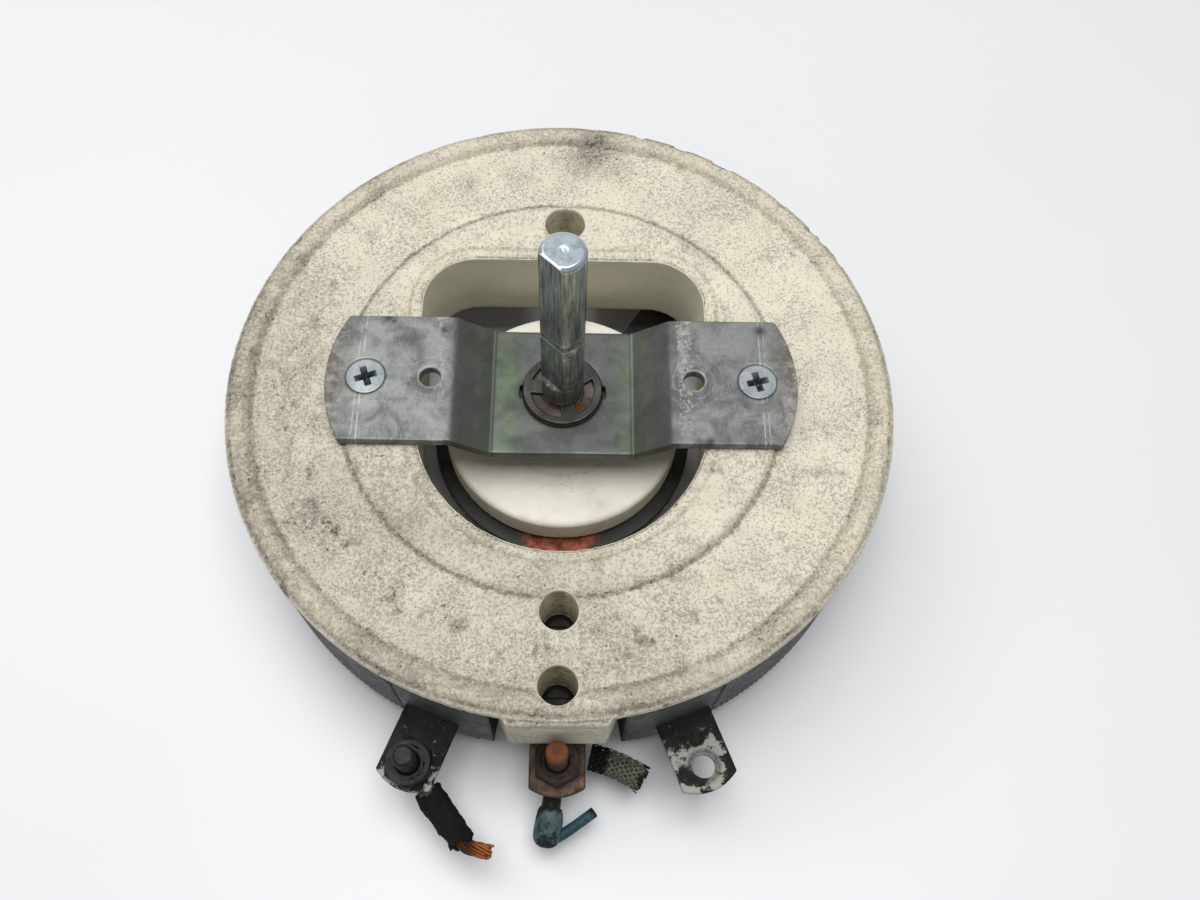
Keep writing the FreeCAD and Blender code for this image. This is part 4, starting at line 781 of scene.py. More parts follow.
PANEL_HOLE_X = 29.9 * MM
CREAM = (0.76, 0.71, 0.575)
# Colour of grime on the porcelain, also used for painted shade.
GRIME_AND_SHADE_TONE = (0.13, 0.115, 0.09)
MATERIALS = {
    "base_ceramic": porcelain("base_porcelain", CREAM, GRIME_AND_SHADE_TONE, 0.505, 0.634),
    "hub_ceramic": porcelain("hub_porcelain", (0.80, 0.77, 0.68), GRIME_AND_SHADE_TONE, 0.62, 0.74),
    "core_ceramic": porcelain("core_porcelain", (0.40, 0.37, 0.31), GRIME_AND_SHADE_TONE, 0.56, 0.68),
    "cement": porcelain("cement", (0.20, 0.19, 0.175), (0.05, 0.047, 0.044), 0.52, 0.64),
    "enamel": enamel_material(),
    "resistance_wire": winding_material(),
    "terminal_steel": worn_metal("fluxed_lug", (0.013, 0.013, 0.010), (0.005, 0.005, 0.004), (0.6, 0.85), 0.15,
                                 oxide=(0.42, 0.41, 0.37), oxide_share=0.37, pit=0.8, blotch=4 * MM),
    "collector_copper": collector_material(),
    "spacer_fibre": plastic("spacer_fibre", (0.10, 0.055, 0.032), (0.05, 0.03, 0.02), 0.6),
    "dark_fastener": worn_metal("dark_fastener", (0.036, 0.035, 0.033), (0.012, 0.011, 0.010), (0.46, 0.7), 0.5,
                                rust=(0.10, 0.045, 0.025), rust_share=0.2, seed=4.0),
    "rusty_fastener": worn_metal("rusty_fastener", (0.075, 0.045, 0.032), (0.030, 0.022, 0.018), (0.5, 0.8), 0.4,
                                 rust=(0.25, 0.09, 0.034), rust_share=0.22, seed=5.0, pit=0.8),
    "bracket_steel": bracket_material(),
    "zinc_screw": worn_metal("zinc_screw", (0.36, 0.395, 0.405), (0.20, 0.225, 0.235), (0.36, 0.58), 0.55, seed=6.0),
    "shaft_steel": shaft_material(),
    "bushing_steel": worn_metal("rusty_bushing", (0.20, 0.17, 0.15), (0.07, 0.05, 0.04), (0.45, 0.7), 0.6,
                                rust=(0.20, 0.085, 0.04), rust_share=0.38, seed=7.0),
    "clip_steel": worn_metal("clip_steel", (0.075, 0.076, 0.074), (0.028, 0.027, 0.026), (0.32, 0.55), 0.6,
                             rust=(0.13, 0.055, 0.03), rust_share=0.26, seed=8.0),
    "arm_steel": worn_metal("arm_steel", (0.40, 0.41, 0.41), (0.22, 0.225, 0.22), (0.3, 0.5), 0.85,
                            brushed=(0.3, 1, 1), seed=9.0),
    "holder_brass": worn_metal("holder_brass", (0.50, 0.36, 0.14), (0.26, 0.17, 0.07), (0.3, 0.55), 0.9, seed=10.0),
    "graphite": plastic("graphite", (0.05, 0.048, 0.047), (0.025, 0.024, 0.024), 0.42, dirt_share=0.1, grain=0.3 * MM),
    "contact_copper": worn_metal("contact_copper", (0.55, 0.25, 0.12), (0.28, 0.12, 0.06), (0.3, 0.5), 0.9, seed=11.0),
    "copper_braid": worn_metal("copper_braid", (0.46, 0.21, 0.10), (0.22, 0.10, 0.05), (0.4, 0.6), 0.85, seed=12.0),
    "crimp_tin": worn_metal("crimp_tin", (0.045, 0.040, 0.033), (0.018, 0.016, 0.014), (0.4, 0.65), 0.65,
                            rust=(0.14, 0.06, 0.03), rust_share=0.2, seed=13.0),
    "burnt_sleeve": plastic("burnt_sleeve", (0.004, 0.004, 0.004), (0.009, 0.011, 0.009), 0.9, (0.003, 0.003, 0.003),
                            0.3, 0.45 * MM),
    "teal_sleeve": plastic("teal_sleeve", (0.040, 0.080, 0.082), (0.082, 0.125, 0.122), 0.5, (0.014, 0.016, 0.014),
                           0.36, 0.6 * MM, seed=1.0),
    "copper_wire": worn_metal("bare_copper", (0.52, 0.17, 0.05), (0.24, 0.075, 0.03), (0.35, 0.6), 0.75, seed=14.0,
                              rust=(0.14, 0.06, 0.03), rust_share=0.2),
    "blue_wire": plastic("blue_wire", (0.018, 0.058, 0.078), (0.034, 0.085, 0.105), 0.45, (0.010, 0.014, 0.016), 0.36,
                         0.6 * MM, seed=2.0),
    "braid_fabric": plastic("braid_fabric", (0.090, 0.090, 0.066), (0.165, 0.165, 0.13), 0.85, (0.010, 0.010, 0.008),
                            0.30, 0.3 * MM, seed=3.0),
}
SLOTS = {entry["node"]: entry["material_slot"] for entry in frame["record"]["subparts"]}
BODIES = {node: body for body, members in frame["record"]["behaviour"]["bodies"].items() for node in members}


def dress(obj, node):
    """Give a new piece the place, body, slot and material of the CAD node that it stands for."""
    slot = SLOTS[node]
    obj.data.materials.clear()
    obj.data.materials.append(MATERIALS[slot])
    for name in ("grime_and_shade", "rust", "oxide"):
        if name not in obj.data.attributes:
            paint(obj, name, np.zeros(len(obj.data.vertices)))
    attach(obj, BODIES[node])
    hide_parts(node)
    return obj


# ---------------------------------------------------------------- ceramic base

OPENING_HALF_WIDTH = 33.3 * MM
OPENING_BACK = 34.4 * MM
OPENING_ARC_DROP = 7.0 * MM
OPENING_CORNER = 12.5 * MM


def opening_distance(x, y):
    """Distance from the edge of the D-shaped opening, negative inside it."""
    front = np.hypot(x, y + OPENING_ARC_DROP) - OPENING_HALF_WIDTH
    half_x = OPENING_HALF_WIDTH - OPENING_CORNER
    half_y = OPENING_BACK - OPENING_CORNER
    over_x = np.abs(x) - half_x
    over_y = y - half_y
    corner = np.hypot(over_x.clip(0), over_y.clip(0)) + np.minimum(np.maximum(over_x, over_y), 0) - OPENING_CORNER
    return np.where(y < -OPENING_ARC_DROP, front, corner)


def round_over(distance, radius):
    """Drop of a surface that rounds over an edge, for a distance from that edge."""
    inward = (radius - distance).clip(0, radius)
    return radius - np.sqrt(radius ** 2 - inward ** 2)


def make_base():
    """Porcelain base with worn rims, soft ridges, rounded openings and an uneven cast surface."""
    base = recast("ceramic_base", "ceramic_body", 0.5 * MM, 3)
    co = points_of(base)
    no = normals_of(base)
    r = np.hypot(co[:, 0], co[:, 1])
    depth = FACE_Z - co[:, 2]
    front = smoothstep(0.55, 0.9, no[:, 2]) * (depth < 2.6 * MM)
    lip = opening_distance(co[:, 0], co[:, 1])
    lip_line = np.exp(-((lip - 2.7 * MM) / (0.6 * MM)) ** 2) * (depth < 1.2 * MM)
    drop = round_over(lip.clip(0), 2.2 * MM) * 0.55 * (depth < 1.2 * MM)
    for x, y, hole in ((0, 45 * MM, 4.9 * MM), (0, -53.3 * MM, 4.2 * MM), (0, -69 * MM, 4.2 * MM)):
        edge = np.hypot(co[:, 0] - x, co[:, 1] - y) - hole
        drop += round_over(edge.clip(0), 1.1 * MM) * 0.5 * (depth < 2.0 * MM) * (edge > -0.3 * MM)
    groove = np.exp(-((r - 71.2 * MM) / (0.8 * MM)) ** 2) * 0.20 * MM
    groove += np.exp(-((r - 50.1 * MM) / (0.7 * MM)) ** 2) * 0.13 * MM
    wear = fractal(co, 7 * MM, 3, 11)
    rim = smoothstep(73.2 * MM, 76.2 * MM, r) * (depth < 3.2 * MM)
    chip = smoothstep(0.52, 0.72, noise(co, 3.2 * MM, 5)) * rim * 0.45 * MM
    bridge = np.exp(-((co[:, 0] - 0.3 * MM) / (3.2 * MM)) ** 2) * smoothstep(72 * MM, 75 * MM, -co[:, 1]) * 0.55 * MM
    co[:, 2] -= front * (drop + groove + bridge + lip_line * 0.10 * MM)
    set_points(base, co)
    push(base, wear * 0.07 * MM + fractal(co, 1.7 * MM, 2, 3) * 0.05 * MM - chip)

    hollow = cavity(base, 3)
    dirt_and_shade = smoothstep(0.006 * MM, 0.05 * MM, hollow) * 0.9
    co = points_of(base)
    cloud = fractal(co, 16 * MM, 3, 21) * 0.5 + 0.5
    ridge = np.exp(-((r - 71.0 * MM) / (1.1 * MM)) ** 2) + np.exp(-((r - 50.2 * MM) / (0.8 * MM)) ** 2) * 0.5
    dirt_and_shade *= 1 - 0.8 * (front * (ridge + lip_line)).clip(0, 1)
    warm = front * (ridge * 0.7 + lip_line * 0.6 + smoothstep(71 * MM, 74 * MM, r) * 0.45)
    paint(base, "rust", warm * (0.4 + 0.6 * cloud))
    outer = smoothstep(70 * MM, 76 * MM, r) * 0.55
    patch = np.exp(-(((co[:, 0] - 6 * MM) / (7 * MM)) ** 2 + ((co[:, 1] - 68 * MM) / (6 * MM)) ** 2)) * 0.75
    scuffs = smoothstep(0.50, 0.72, noise(co * [1.0, 1.0, 0.3], 4.2 * MM, 31)) * 0.45
    worn_band = np.exp(-((r - 61 * MM) / (4.5 * MM)) ** 2)
    streaks = smoothstep(0.05, 0.55, fractal(co * [1.0, 0.8, 1.0], 2.4 * MM, 3, 33))
    near_left = smoothstep(10 * MM, -60 * MM, co[:, 0] * 0.9 + co[:, 1])
    dirt_and_shade += front * (ridge * (0.06 + 0.6 * cloud ** 2) + outer * cloud + patch + scuffs * cloud)
    dirt_and_shade += front * worn_band * streaks * (0.34 + 0.30 * near_left)
    dirt_and_shade += front * near_left * (0.20 + 0.30 * cloud) + lip_line * 0.35 * cloud ** 2
    dirt_and_shade += front * np.exp(-((r - 75.2 * MM) / (0.4 * MM)) ** 2) * (0.2 + 0.8 * cloud ** 2)
    side = (depth > 2.6 * MM) * (r > 60 * MM)
    dirt_and_shade += side * (0.12 + 0.5 * np.exp(-((depth - 4.2 * MM) / (0.5 * MM)) ** 2))
    # The opening wall is darker towards the bottom of the opening, in place of the other marks.
    wall = (np.abs(lip) < 0.8 * MM) * (depth > 1.5 * MM)
    dirt_and_shade = np.where(wall, 0.22 * smoothstep(8 * MM, 22 * MM, depth), dirt_and_shade)
    # Painted shade: the face under the bracket's panel holes is darkened to look shadowed.
    dirt_and_shade += np.exp(-(np.hypot(np.abs(co[:, 0]) - PANEL_HOLE_X, co[:, 1]) / (2.6 * MM)) ** 4) * front * 0.9
    paint(base, "glaze", smoothstep(0.6, 0.2, np.abs(no[:, 2])) * (r < 72 * MM) * (depth < 22.5 * MM))
    chipped = chip > 0.2 * MM
    paint(base, "grime_and_shade", np.where(chipped, 0.95, dirt_and_shade))
    return dress(base, "ceramic_base")


# ---------------------------------------------------------------- wound ring

RING_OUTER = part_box("enamel_coat")[1].x
RING_INNER = 60.0 * MM
RING_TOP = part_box("enamel_coat")[1].z
RING_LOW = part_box("enamel_coat")[0].z
GAP_HALF_ANGLE = math.radians(11.0)
WOUND_FROM = math.radians(27.2)
TURNS = 330


def ring_sweep(name, section, gap, steps, ribs, seed):
    """Sweep a closed (radius, height) section round the ring, from one side of the front gap to the other."""
    count = len(section)
    section = np.array(section)
    angles = np.linspace(gap, TAU - gap, steps) - math.pi / 2
    middle_r = (RING_OUTER + RING_INNER) / 2
    verts = []
    for angle in angles:
        turned = angle + math.pi / 2
        amount = ribs(turned, section)
        outward = np.sign(section[:, 0] - middle_r)
        r = section[:, 0] + amount * outward
        verts.append(np.stack([r * math.cos(angle), r * math.sin(angle), section[:, 1]], 1))
    verts = np.concatenate(verts)
    faces = []
    for i in range(steps - 1):
        for k in range(count):
            n = (k + 1) % count
            faces.append((i * count + k, i * count + n, (i + 1) * count + n, (i + 1) * count + k))
    faces.append(tuple(range(count)))
    faces.append(tuple((steps - 1) * count + k for k in reversed(range(count))))
    obj = mesh_object(name, verts, faces)
    bm = bmesh.new()
    bm.from_mesh(obj.data)
    bmesh.ops.recalc_face_normals(bm, faces=bm.faces)
    bm.to_mesh(obj.data)
    bm.free()
    return obj


def rib_wave(turned, phase=0.0):
    """Depth share between neighbouring turns of wire: 0 on a turn and 1 in the groove beside it."""
    share = (turned * TURNS / TAU + phase) % 1
    return abs(2 * share - 1) ** 3


def make_enamel():
    """Black enamel shell whose walls follow the turns of wire below it, with smooth stubs at its ends."""
    wall = 0.8 * MM
    lip = RING_LOW
    outline = [(RING_OUTER, lip), (RING_OUTER, RING_TOP), (RING_INNER, RING_TOP), (RING_INNER, lip),
               (RING_INNER + wall, lip), (RING_INNER + wall, RING_TOP - wall),
               (RING_OUTER - wall, RING_TOP - wall), (RING_OUTER - wall, lip)]
    section = finer(rounded(outline, 0.5 * MM), 1.6 * MM)
    middle = (RING_OUTER + RING_INNER) / 2
    corner = 3.2 * MM

    def ribs(turned, points):
        from_gap = min(turned, TAU - turned)
        skin = np.abs(np.abs(points[:, 0] - middle) - (RING_OUTER - RING_INNER) / 2) < 0.35 * MM
        slant = points[:, 1] / (46 * MM)
        wound = 1.0 if from_gap > WOUND_FROM else 0.0
        wave = np.array([rib_wave(turned, s) for s in slant])
        uneven = noise(np.stack([np.full(len(points), turned * 40 * MM), points[:, 1], points[:, 0]], 1), 2.4 * MM, 7)
        dip = wound * (0.36 * wave + 0.05) * (0.75 + 0.45 * uneven) * MM
        slit = 0.55 * MM if abs(from_gap - WOUND_FROM) < math.radians(0.25) else 0.0
        end = (from_gap - GAP_HALF_ANGLE) * RING_OUTER
        shy = round_over(np.full(len(points), max(end, 0)), 0.9 * MM)
        edge = np.minimum(points[:, 1] - RING_LOW, RING_TOP - points[:, 1]).clip(0)
        nick = np.where((edge < corner) & (end < corner), 0.25 * MM, 0.0)
        return -(dip + slit) * skin - shy * skin - nick * skin

    steps = TURNS * 6 + 1
    coat = ring_sweep("enamel_shell", section, GAP_HALF_ANGLE, steps, ribs, 1)
    co = points_of(coat)
    turned = (np.arctan2(co[:, 1], co[:, 0]) + math.pi / 2) % TAU
    from_gap = np.minimum(turned, TAU - turned)
    r = np.hypot(co[:, 0], co[:, 1])
    outside = r > RING_OUTER - 0.75 * MM
    sunk = smoothstep(0.10 * MM, 0.32 * MM, np.where(outside, RING_OUTER - r, 0))
    dirt_and_shade = np.where(from_gap > WOUND_FROM, sunk * 0.9, 0.0)
    dirt_and_shade += np.exp(-((from_gap - WOUND_FROM) / math.radians(0.4)) ** 2)
    dirt_and_shade += smoothstep(0.55, 0.8, noise(co, 3 * MM, 17)) * 0.6
    paint(coat, "grime_and_shade", dirt_and_shade)
    return dress(coat, "enamel_coat")


def end_cap(side, sign):
    """Enamel closing the end of the ring, with rounded corners."""
    start = GAP_HALF_ANGLE
    thick = math.radians(1.2)
    inset = 0.25 * MM
    low, high = RING_LOW + 0.1 * MM, RING_TOP - 0.05 * MM
    verts, faces = [], []
    corner = 2.4 * MM
    outline = []
    box = [(RING_OUTER - inset, low), (RING_OUTER - inset, high), (RING_INNER + inset, high), (RING_INNER + inset, low)]
    outline = rounded(box, corner)
    layers = [(0.0, 0.35 * MM), (0.2, 0.06 * MM), (0.5, 0.0), (1.0, 0.0)]
    middle = Vector(((RING_OUTER + RING_INNER) / 2, (low + high) / 2))
    for share, shrink in layers:
        angle = sign * (start + thick * share) - math.pi / 2
        for r, z in outline:
            v = Vector((r, z))
            v = v + (middle - v).normalized() * shrink
            verts.append((v.x * math.cos(angle), v.x * math.sin(angle), v.y))
    count = len(outline)
    for i in range(len(layers) - 1):
        for k in range(count):
            n = (k + 1) % count
            faces.append((i * count + k, i * count + n, (i + 1) * count + n, (i + 1) * count + k))
    faces.append(tuple(range(count)))
    faces.append(tuple((len(layers) - 1) * count + k for k in reversed(range(count))))
    cap = mesh_object(f"{side}_ring_cap", verts, faces, smooth=False)
    bm = bmesh.new()
    bm.from_mesh(cap.data)
    bmesh.ops.recalc_face_normals(bm, faces=bm.faces)
    bm.to_mesh(cap.data)
    bm.free()
    return cap


def dress_cap(cap):
    cap.data.materials.append(MATERIALS["enamel"])
    for name in ("grime_and_shade", "rust", "oxide"):
        paint(cap, name, np.full(len(cap.data.vertices), 0.15 if name == "grime_and_shade" else 0.0))
    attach(cap, BODIES["enamel_coat"])


def make_winding():
    """Turns of resistance wire round the core, bare where the brush runs."""
    low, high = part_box("resistance_winding")
    inset = RING_OUTER - high.x
    inner = RING_INNER + inset
    outline = [(high.x, low.z), (high.x, high.z), (inner, high.z), (inner, low.z)]
    section = finer(rounded(outline, 0.7 * MM), 2.2 * MM)
    centre_z = (low.z + high.z) / 2

    def ribs(turned, points):
        return np.zeros(len(points))

    coil = ring_sweep("winding_turns", section, WOUND_FROM, TURNS * 5 + 1, ribs, 2)
    co = points_of(coil)
    turned = (np.arctan2(co[:, 1], co[:, 0]) + math.pi / 2) % TAU
    wave = np.array([rib_wave(t) for t in turned])
    push(coil, -wave * 0.32 * MM)
    paint(coil, "grime_and_shade", smoothstep(0.3, 0.9, wave) * 0.9)
    return dress(coil, "resistance_winding")


# ---------------------------------------------------------------- terminals

def bow_end(obj, direction, reach, curve, start):
    """Pull the corners of a strip's square end back to an arc."""
    co = points_of(obj)
    ahead = np.array([math.cos(direction), math.sin(direction)])
    along = co[:, :2] @ ahead
    across = co[:, :2] @ np.array([-ahead[1], ahead[0]])
    pull = across ** 2 / (2 * curve) * smoothstep(start, reach, along)
    co[:, :2] -= pull[:, None] * ahead
    set_points(obj, co)


LUG_ANGLE = math.radians(21.3)


def make_lug(side):
    """End terminal: flux-stained lug with solder lumps and a rounded end."""
    node = f"{side}_end_terminal"
    lug = recast(node, f"{side}_lug", 0.24 * MM, 3)
    direction = (LUG_ANGLE if side == "right" else -LUG_ANGLE) - math.pi / 2
    bow_end(lug, direction, 92.7 * MM, 11 * MM, 88.5 * MM)
    co = points_of(lug)
    top = normals_of(lug)[:, 2]
    lump = smoothstep(0.25, 0.75, fractal(co, 2.2 * MM, 3, 41)) * smoothstep(0.2, 0.8, top)
    r = np.hypot(co[:, 0], co[:, 1])
    root = smoothstep(84 * MM, 77 * MM, r)
    push(lug, lump * (0.10 + 0.28 * root) * MM + fractal(co, 0.9 * MM, 2, 43) * 0.035 * MM)
    oxide = smoothstep(-0.25, 0.45, fractal(co, 4.2 * MM, 4, 47)) * smoothstep(78 * MM, 84 * MM, r)
    paint(lug, "oxide", oxide)
    centre = np.array([math.cos(direction), math.sin(direction)]) * 87.3 * MM
    ring = np.hypot(co[:, 0] - centre[0], co[:, 1] - centre[1])
    mark = np.exp(-((ring - 3.2 * MM) / (0.7 * MM)) ** 2) * 0.7
    near_black = smoothstep(0.05, 0.5, fractal(co, 2.6 * MM, 3, 49)) * 0.5
    paint(lug, "grime_and_shade", root * 0.6 + mark + near_black + smoothstep(0.0, 0.05 * MM, cavity(lug, 3)) * 0.4)
    return dress(lug, node)


def make_stud(place, pale=False):
    """Terminal bolt with a rolled thread, its chamfered nut and its washer."""
    node = f"{place}_terminal_bolt"
    low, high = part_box(node)
    centre = ((low.x + high.x) / 2, (low.y + high.y) / 2)
    head_r = (high.x - low.x) / 2
    shank = 2.4 * MM
    head_top = low.z + 3.2 * MM
    outline = [(0, low.z), (head_r - 0.8 * MM, low.z), (head_r, low.z + 0.8 * MM), (head_r, head_top),
               (shank, head_top), (shank, high.z - 0.6 * MM), (shank - 0.6 * MM, high.z), (0, high.z)]
    fine = finer(rounded(outline, 0.25 * MM), 0.13 * MM)
    shape = thread(head_top + 1.2 * MM, high.z - 0.4 * MM, 0.8 * MM, 0.24 * MM, shank)
    bolt = lathe(f"{place}_stud", fine, 40, centre, shape)
    co = points_of(bolt)
    push(bolt, fractal(co, 1.1 * MM, 2, 51) * 0.05 * MM)
    if place == "centre":
        paint(bolt, "rust", smoothstep(high.z - 7 * MM, high.z - 1 * MM, co[:, 2]))
    reach = np.hypot(co[:, 0] - centre[0], co[:, 1] - centre[1])
    core = (co[:, 2] > high.z - 0.3 * MM) * np.exp(-((reach - 0.5 * MM) / (0.8 * MM)) ** 2) * 0.4
    paint(bolt, "grime_and_shade", core + smoothstep(head_top + 6 * MM, head_top + 2 * MM, co[:, 2]) * 0.5)
    dress(bolt, node)

    nut = hex_nut(f"{place}_terminal_nut", f"{place}_hex_nut")
    co = points_of(nut)
    push(nut, fractal(co, 1.0 * MM, 2, 53) * 0.04 * MM)
    paint(nut, "grime_and_shade", 0.35 + 0.4 * fractal(co, 3 * MM, 2, 54))
    dress(nut, f"{place}_terminal_nut")
    dress(washer(f"{place}_terminal_washer", f"{place}_stud_washer"), f"{place}_terminal_washer")


def make_crimp(place):
    crimp = recast(f"{place}_ring_terminal", f"{place}_crimp", 0.16 * MM, 3)
    co = points_of(crimp)
    push(crimp, fractal(co, 1.2 * MM, 2, 61) * 0.05 * MM)
    paint(crimp, "grime_and_shade", 0.3 + 0.5 * fractal(co, 2.2 * MM, 2, 62))
    dress(crimp, f"{place}_ring_terminal")


def line_between(start, end, count):
    return [start.lerp(end, i / (count - 1)) for i in range(count)]


def angle_noise(t, angle, size, seed):
    """Noise on the skin of a tube, for a share of its length and an angle."""
    point = np.array([[math.cos(angle) * 3 * MM, math.sin(angle) * 3 * MM, t * 11 * MM]])
    return float(fractal(point, size, 3, seed)[0])


def make_burnt_lead():
    """Charred, crumpled sleeve with ragged ends, and the loose copper strands that come out of it."""
    start, end, radius = axis_of("left_terminal_sleeve")
    ahead = (end - start).normalized()
    start = start - ahead * 2.2 * MM
    inner = 2.15 * MM / radius

    def wall(t, a):
        crumple = 0.12 * angle_noise(t, a, 3.0 * MM, 71) + 0.06 * angle_noise(t, a, 1.2 * MM, 72)
        return 0.97 + crumple - 0.10 * math.exp(-((t - 0.86) / 0.07) ** 2)

    def ragged(which, a):
        return angle_noise(which, a, 1.6 * MM, 73 + which) * 1.3 * MM

    lead = sleeve("burnt_sleeve", line_between(start, end, 34), radius, radius * inner, 56, wall, ragged)
    co = points_of(lead)
    flakes = smoothstep(0.15, 0.5, fractal(co, 1.1 * MM, 3, 77)) * 0.30
    push(lead, (flakes - 0.25 * smoothstep(0.2, 0.6, fractal(co, 2.8 * MM, 2, 78))) * MM)
    dress(lead, "left_terminal_sleeve")

    low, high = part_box("left_wire_stub")
    tip = Vector((high.x + 0.5 * MM, low.y + 0.6 * MM, (low.z + high.z) / 2))
    first = end - ahead * 3.0 * MM
    knee = end + ahead * 1.0 * MM
    route = smooth_line([first, end, knee, tip.lerp(knee, 0.45), tip], 26)
    frames = grid_frame(route)
    strands = []
    layers = ((1, 0.0), (6, 0.56), (12, 1.06))
    for count, spread in layers:
        for k in range(count):
            line = []
            for i, (p, _, side, up) in enumerate(frames):
                t = i / (len(frames) - 1)
                a = TAU * k / count + 2.0 * t + spread
                flat = 1 - 0.35 * t
                loose = spread * MM * (1 + 0.10 * math.sin(9 * t + 2 * k))
                line.append(p + side * (math.cos(a) * loose * (1 + 0.25 * t)) + up * (math.sin(a) * loose * flat))
            cut = len(line) - (k * 7 + count) % 4
            strands.append(tube(f"strand_{count}_{k}", line[:cut], 0.30 * MM, 7))
    copper = join("copper_strands", strands)
    co = points_of(copper)
    burnt = smoothstep(knee.x + 3.6 * MM, knee.x + 0.3 * MM, co[:, 0])
    paint(copper, "grime_and_shade", burnt * 0.85 + 0.15 * fractal(co, 1 * MM, 2, 79))
    copper.data.polygons.foreach_set("use_smooth", [True] * len(copper.data.polygons))
    dress(copper, "left_wire_stub")


def capsule(name, start, ahead, length, outer, inner, dome, shape):
    """A pipe with a soft shoulder at its open start and a closed dome at its end."""
    outline = [(inner, 0.0), (outer - 0.9 * MM, 0.0), (outer - 0.25 * MM, 0.35 * MM), (outer, 1.1 * MM)]
    for i in range(9):
        bend = i / 8 * math.pi / 2
        outline.append((outer * math.cos(bend) ** 0.8, length - dome + dome * math.sin(bend)))
    outline[-1] = (0.0, length)
    outline += [(0.0, length - 0.9 * MM), (inner * 0.8, length - 1.6 * MM), (inner, length - dome)]
    piece = lathe(name, finer(outline, 0.45 * MM), 56, (0, 0), shape)
    turn = ahead.to_track_quat("Z", "Y").to_matrix()
    co = points_of(piece) @ np.array(turn).T + np.array(start)
    set_points(piece, co)
    return piece


def make_blue_lead():
    """Blue-green end sleeve with a rounded lower end, and the blue wire that comes out beside it."""
    start, end, radius = axis_of("centre_terminal_sleeve")
    along = (end - start).normalized()
    first = start + along * 1.2 * MM
    length = (end - first).length + 3.1 * MM

    def shape(a, r, z):
        t = z / length
        lean = 1 - 0.10 * smoothstep(0.35, 0.0, np.array(t))
        return r * float(lean) * (0.985 + 0.05 * angle_noise(t, a, 2.6 * MM, 81))

    cover = capsule("teal_sleeve", first, along, length, radius, 2.15 * MM, 2.6 * MM, shape)
    co = points_of(cover)
    top = smoothstep(first.y - 1.6 * MM, first.y + 0.4 * MM, co[:, 1])
    foot = smoothstep(end.y - 1.6 * MM, end.y - 3.0 * MM, co[:, 1])
    worn = smoothstep(0.2, 0.7, fractal(co, 3 * MM, 3, 85)) * 0.35
    paint(cover, "grime_and_shade", top * 0.75 + foot * 0.35 + worn)
    dress(cover, "centre_terminal_sleeve")

    bend = end + along * 1.7 * MM
    tip = bend + Vector((10.6, 6.3, -1.6)) * MM
    route = smooth_line([end - along * 1.0 * MM, bend, bend + Vector((3.0, 0.7, -0.8)) * MM, tip], 40)
    wire = tube("blue_wire", route, 1.2 * MM, 20, lambda t, a: 1 + 0.06 * angle_noise(t, a, 2 * MM, 87))
    co = points_of(wire)
    near_tip = smoothstep(1.9 * MM, 0.5 * MM, np.linalg.norm(co - np.array(tip), axis=1))
    paint(wire, "grime_and_shade", near_tip * 0.9)
    dress(wire, "centre_wire_stub")


def make_braid():
    """Woven sleeve: two sets of ribbon strands that pass over and under each other, frayed at the cut."""
    low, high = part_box("braided_sleeve")
    z = (low.z + high.z) / 2
    stops = [(7.2, -78.0), (13.2, -79.3), (18.7, -82.7)]
    route = smooth_line([Vector((x * MM, y * MM, z)) for x, y in stops], 60)
    frames = grid_frame(route)
    last = len(frames) - 1
    carriers = 14
    ribbons = []
    radius = (high.z - low.z) / 2
    for way in (1, -1):
        for c in range(carriers):
            verts, faces = [], []
            for i, (p, ahead, side, up) in enumerate(frames):
                t = i / last
                a = TAU * c / carriers + way * t * 3.4
                crossing = math.cos((a * way + t * 3.4) * carriers / 2 + (0 if way > 0 else math.pi))
                flare = 1 + 0.10 * max(0.0, t - 0.9) / 0.1
                r = radius * 0.90 * flare + 0.16 * MM * crossing
                push_out = 0.0
                if i == last:
                    push_out = ((c * 37 + (5 if way > 0 else 0)) % 7) / 7 * 0.9 * MM
                half_width = TAU / carriers * 0.40
                for da, dr in ((-half_width, -0.06 * MM), (0.0, 0.13 * MM), (half_width, -0.06 * MM), (0.0, -0.16 * MM)):
                    direction = side * math.cos(a + da) + up * math.sin(a + da)
                    verts.append(p + ahead * push_out + direction * (r + dr))
            for i in range(last):
                for k in range(4):
                    n = (k + 1) % 4
                    faces.append((i * 4 + k, i * 4 + n, (i + 1) * 4 + n, (i + 1) * 4 + k))
            faces += [(0, 1, 2, 3), (last * 4 + 3, last * 4 + 2, last * 4 + 1, last * 4)]
            ribbons.append(mesh_object("ribbon", verts, faces))
    braid = join("woven_braid", ribbons)
    co = points_of(braid)
    start = np.array(route[0])
    away = np.linalg.norm(co - start, axis=1)
    charred = smoothstep(6.5 * MM, 3.0 * MM, away)
    cut = smoothstep(11.5 * MM, 12.8 * MM, away) * 0.4
    paint(braid, "grime_and_shade", charred * 0.95 + cut + smoothstep(0.2, 0.7, fractal(co, 1.5 * MM, 3, 91)) * 0.35)
    braid.data.polygons.foreach_set("use_smooth", [True] * len(braid.data.polygons))
    dress(braid, "braided_sleeve")

    core = tube("braid_core", route, 1.55 * MM, 20, lambda t, a: 1 + 0.12 * math.cos(7 * a + 8 * t))
    paint(core, "grime_and_shade", np.full(len(core.data.vertices), 0.6))
    dress(core, "braided_lead_core")


# ---------------------------------------------------------------- bracket and screws

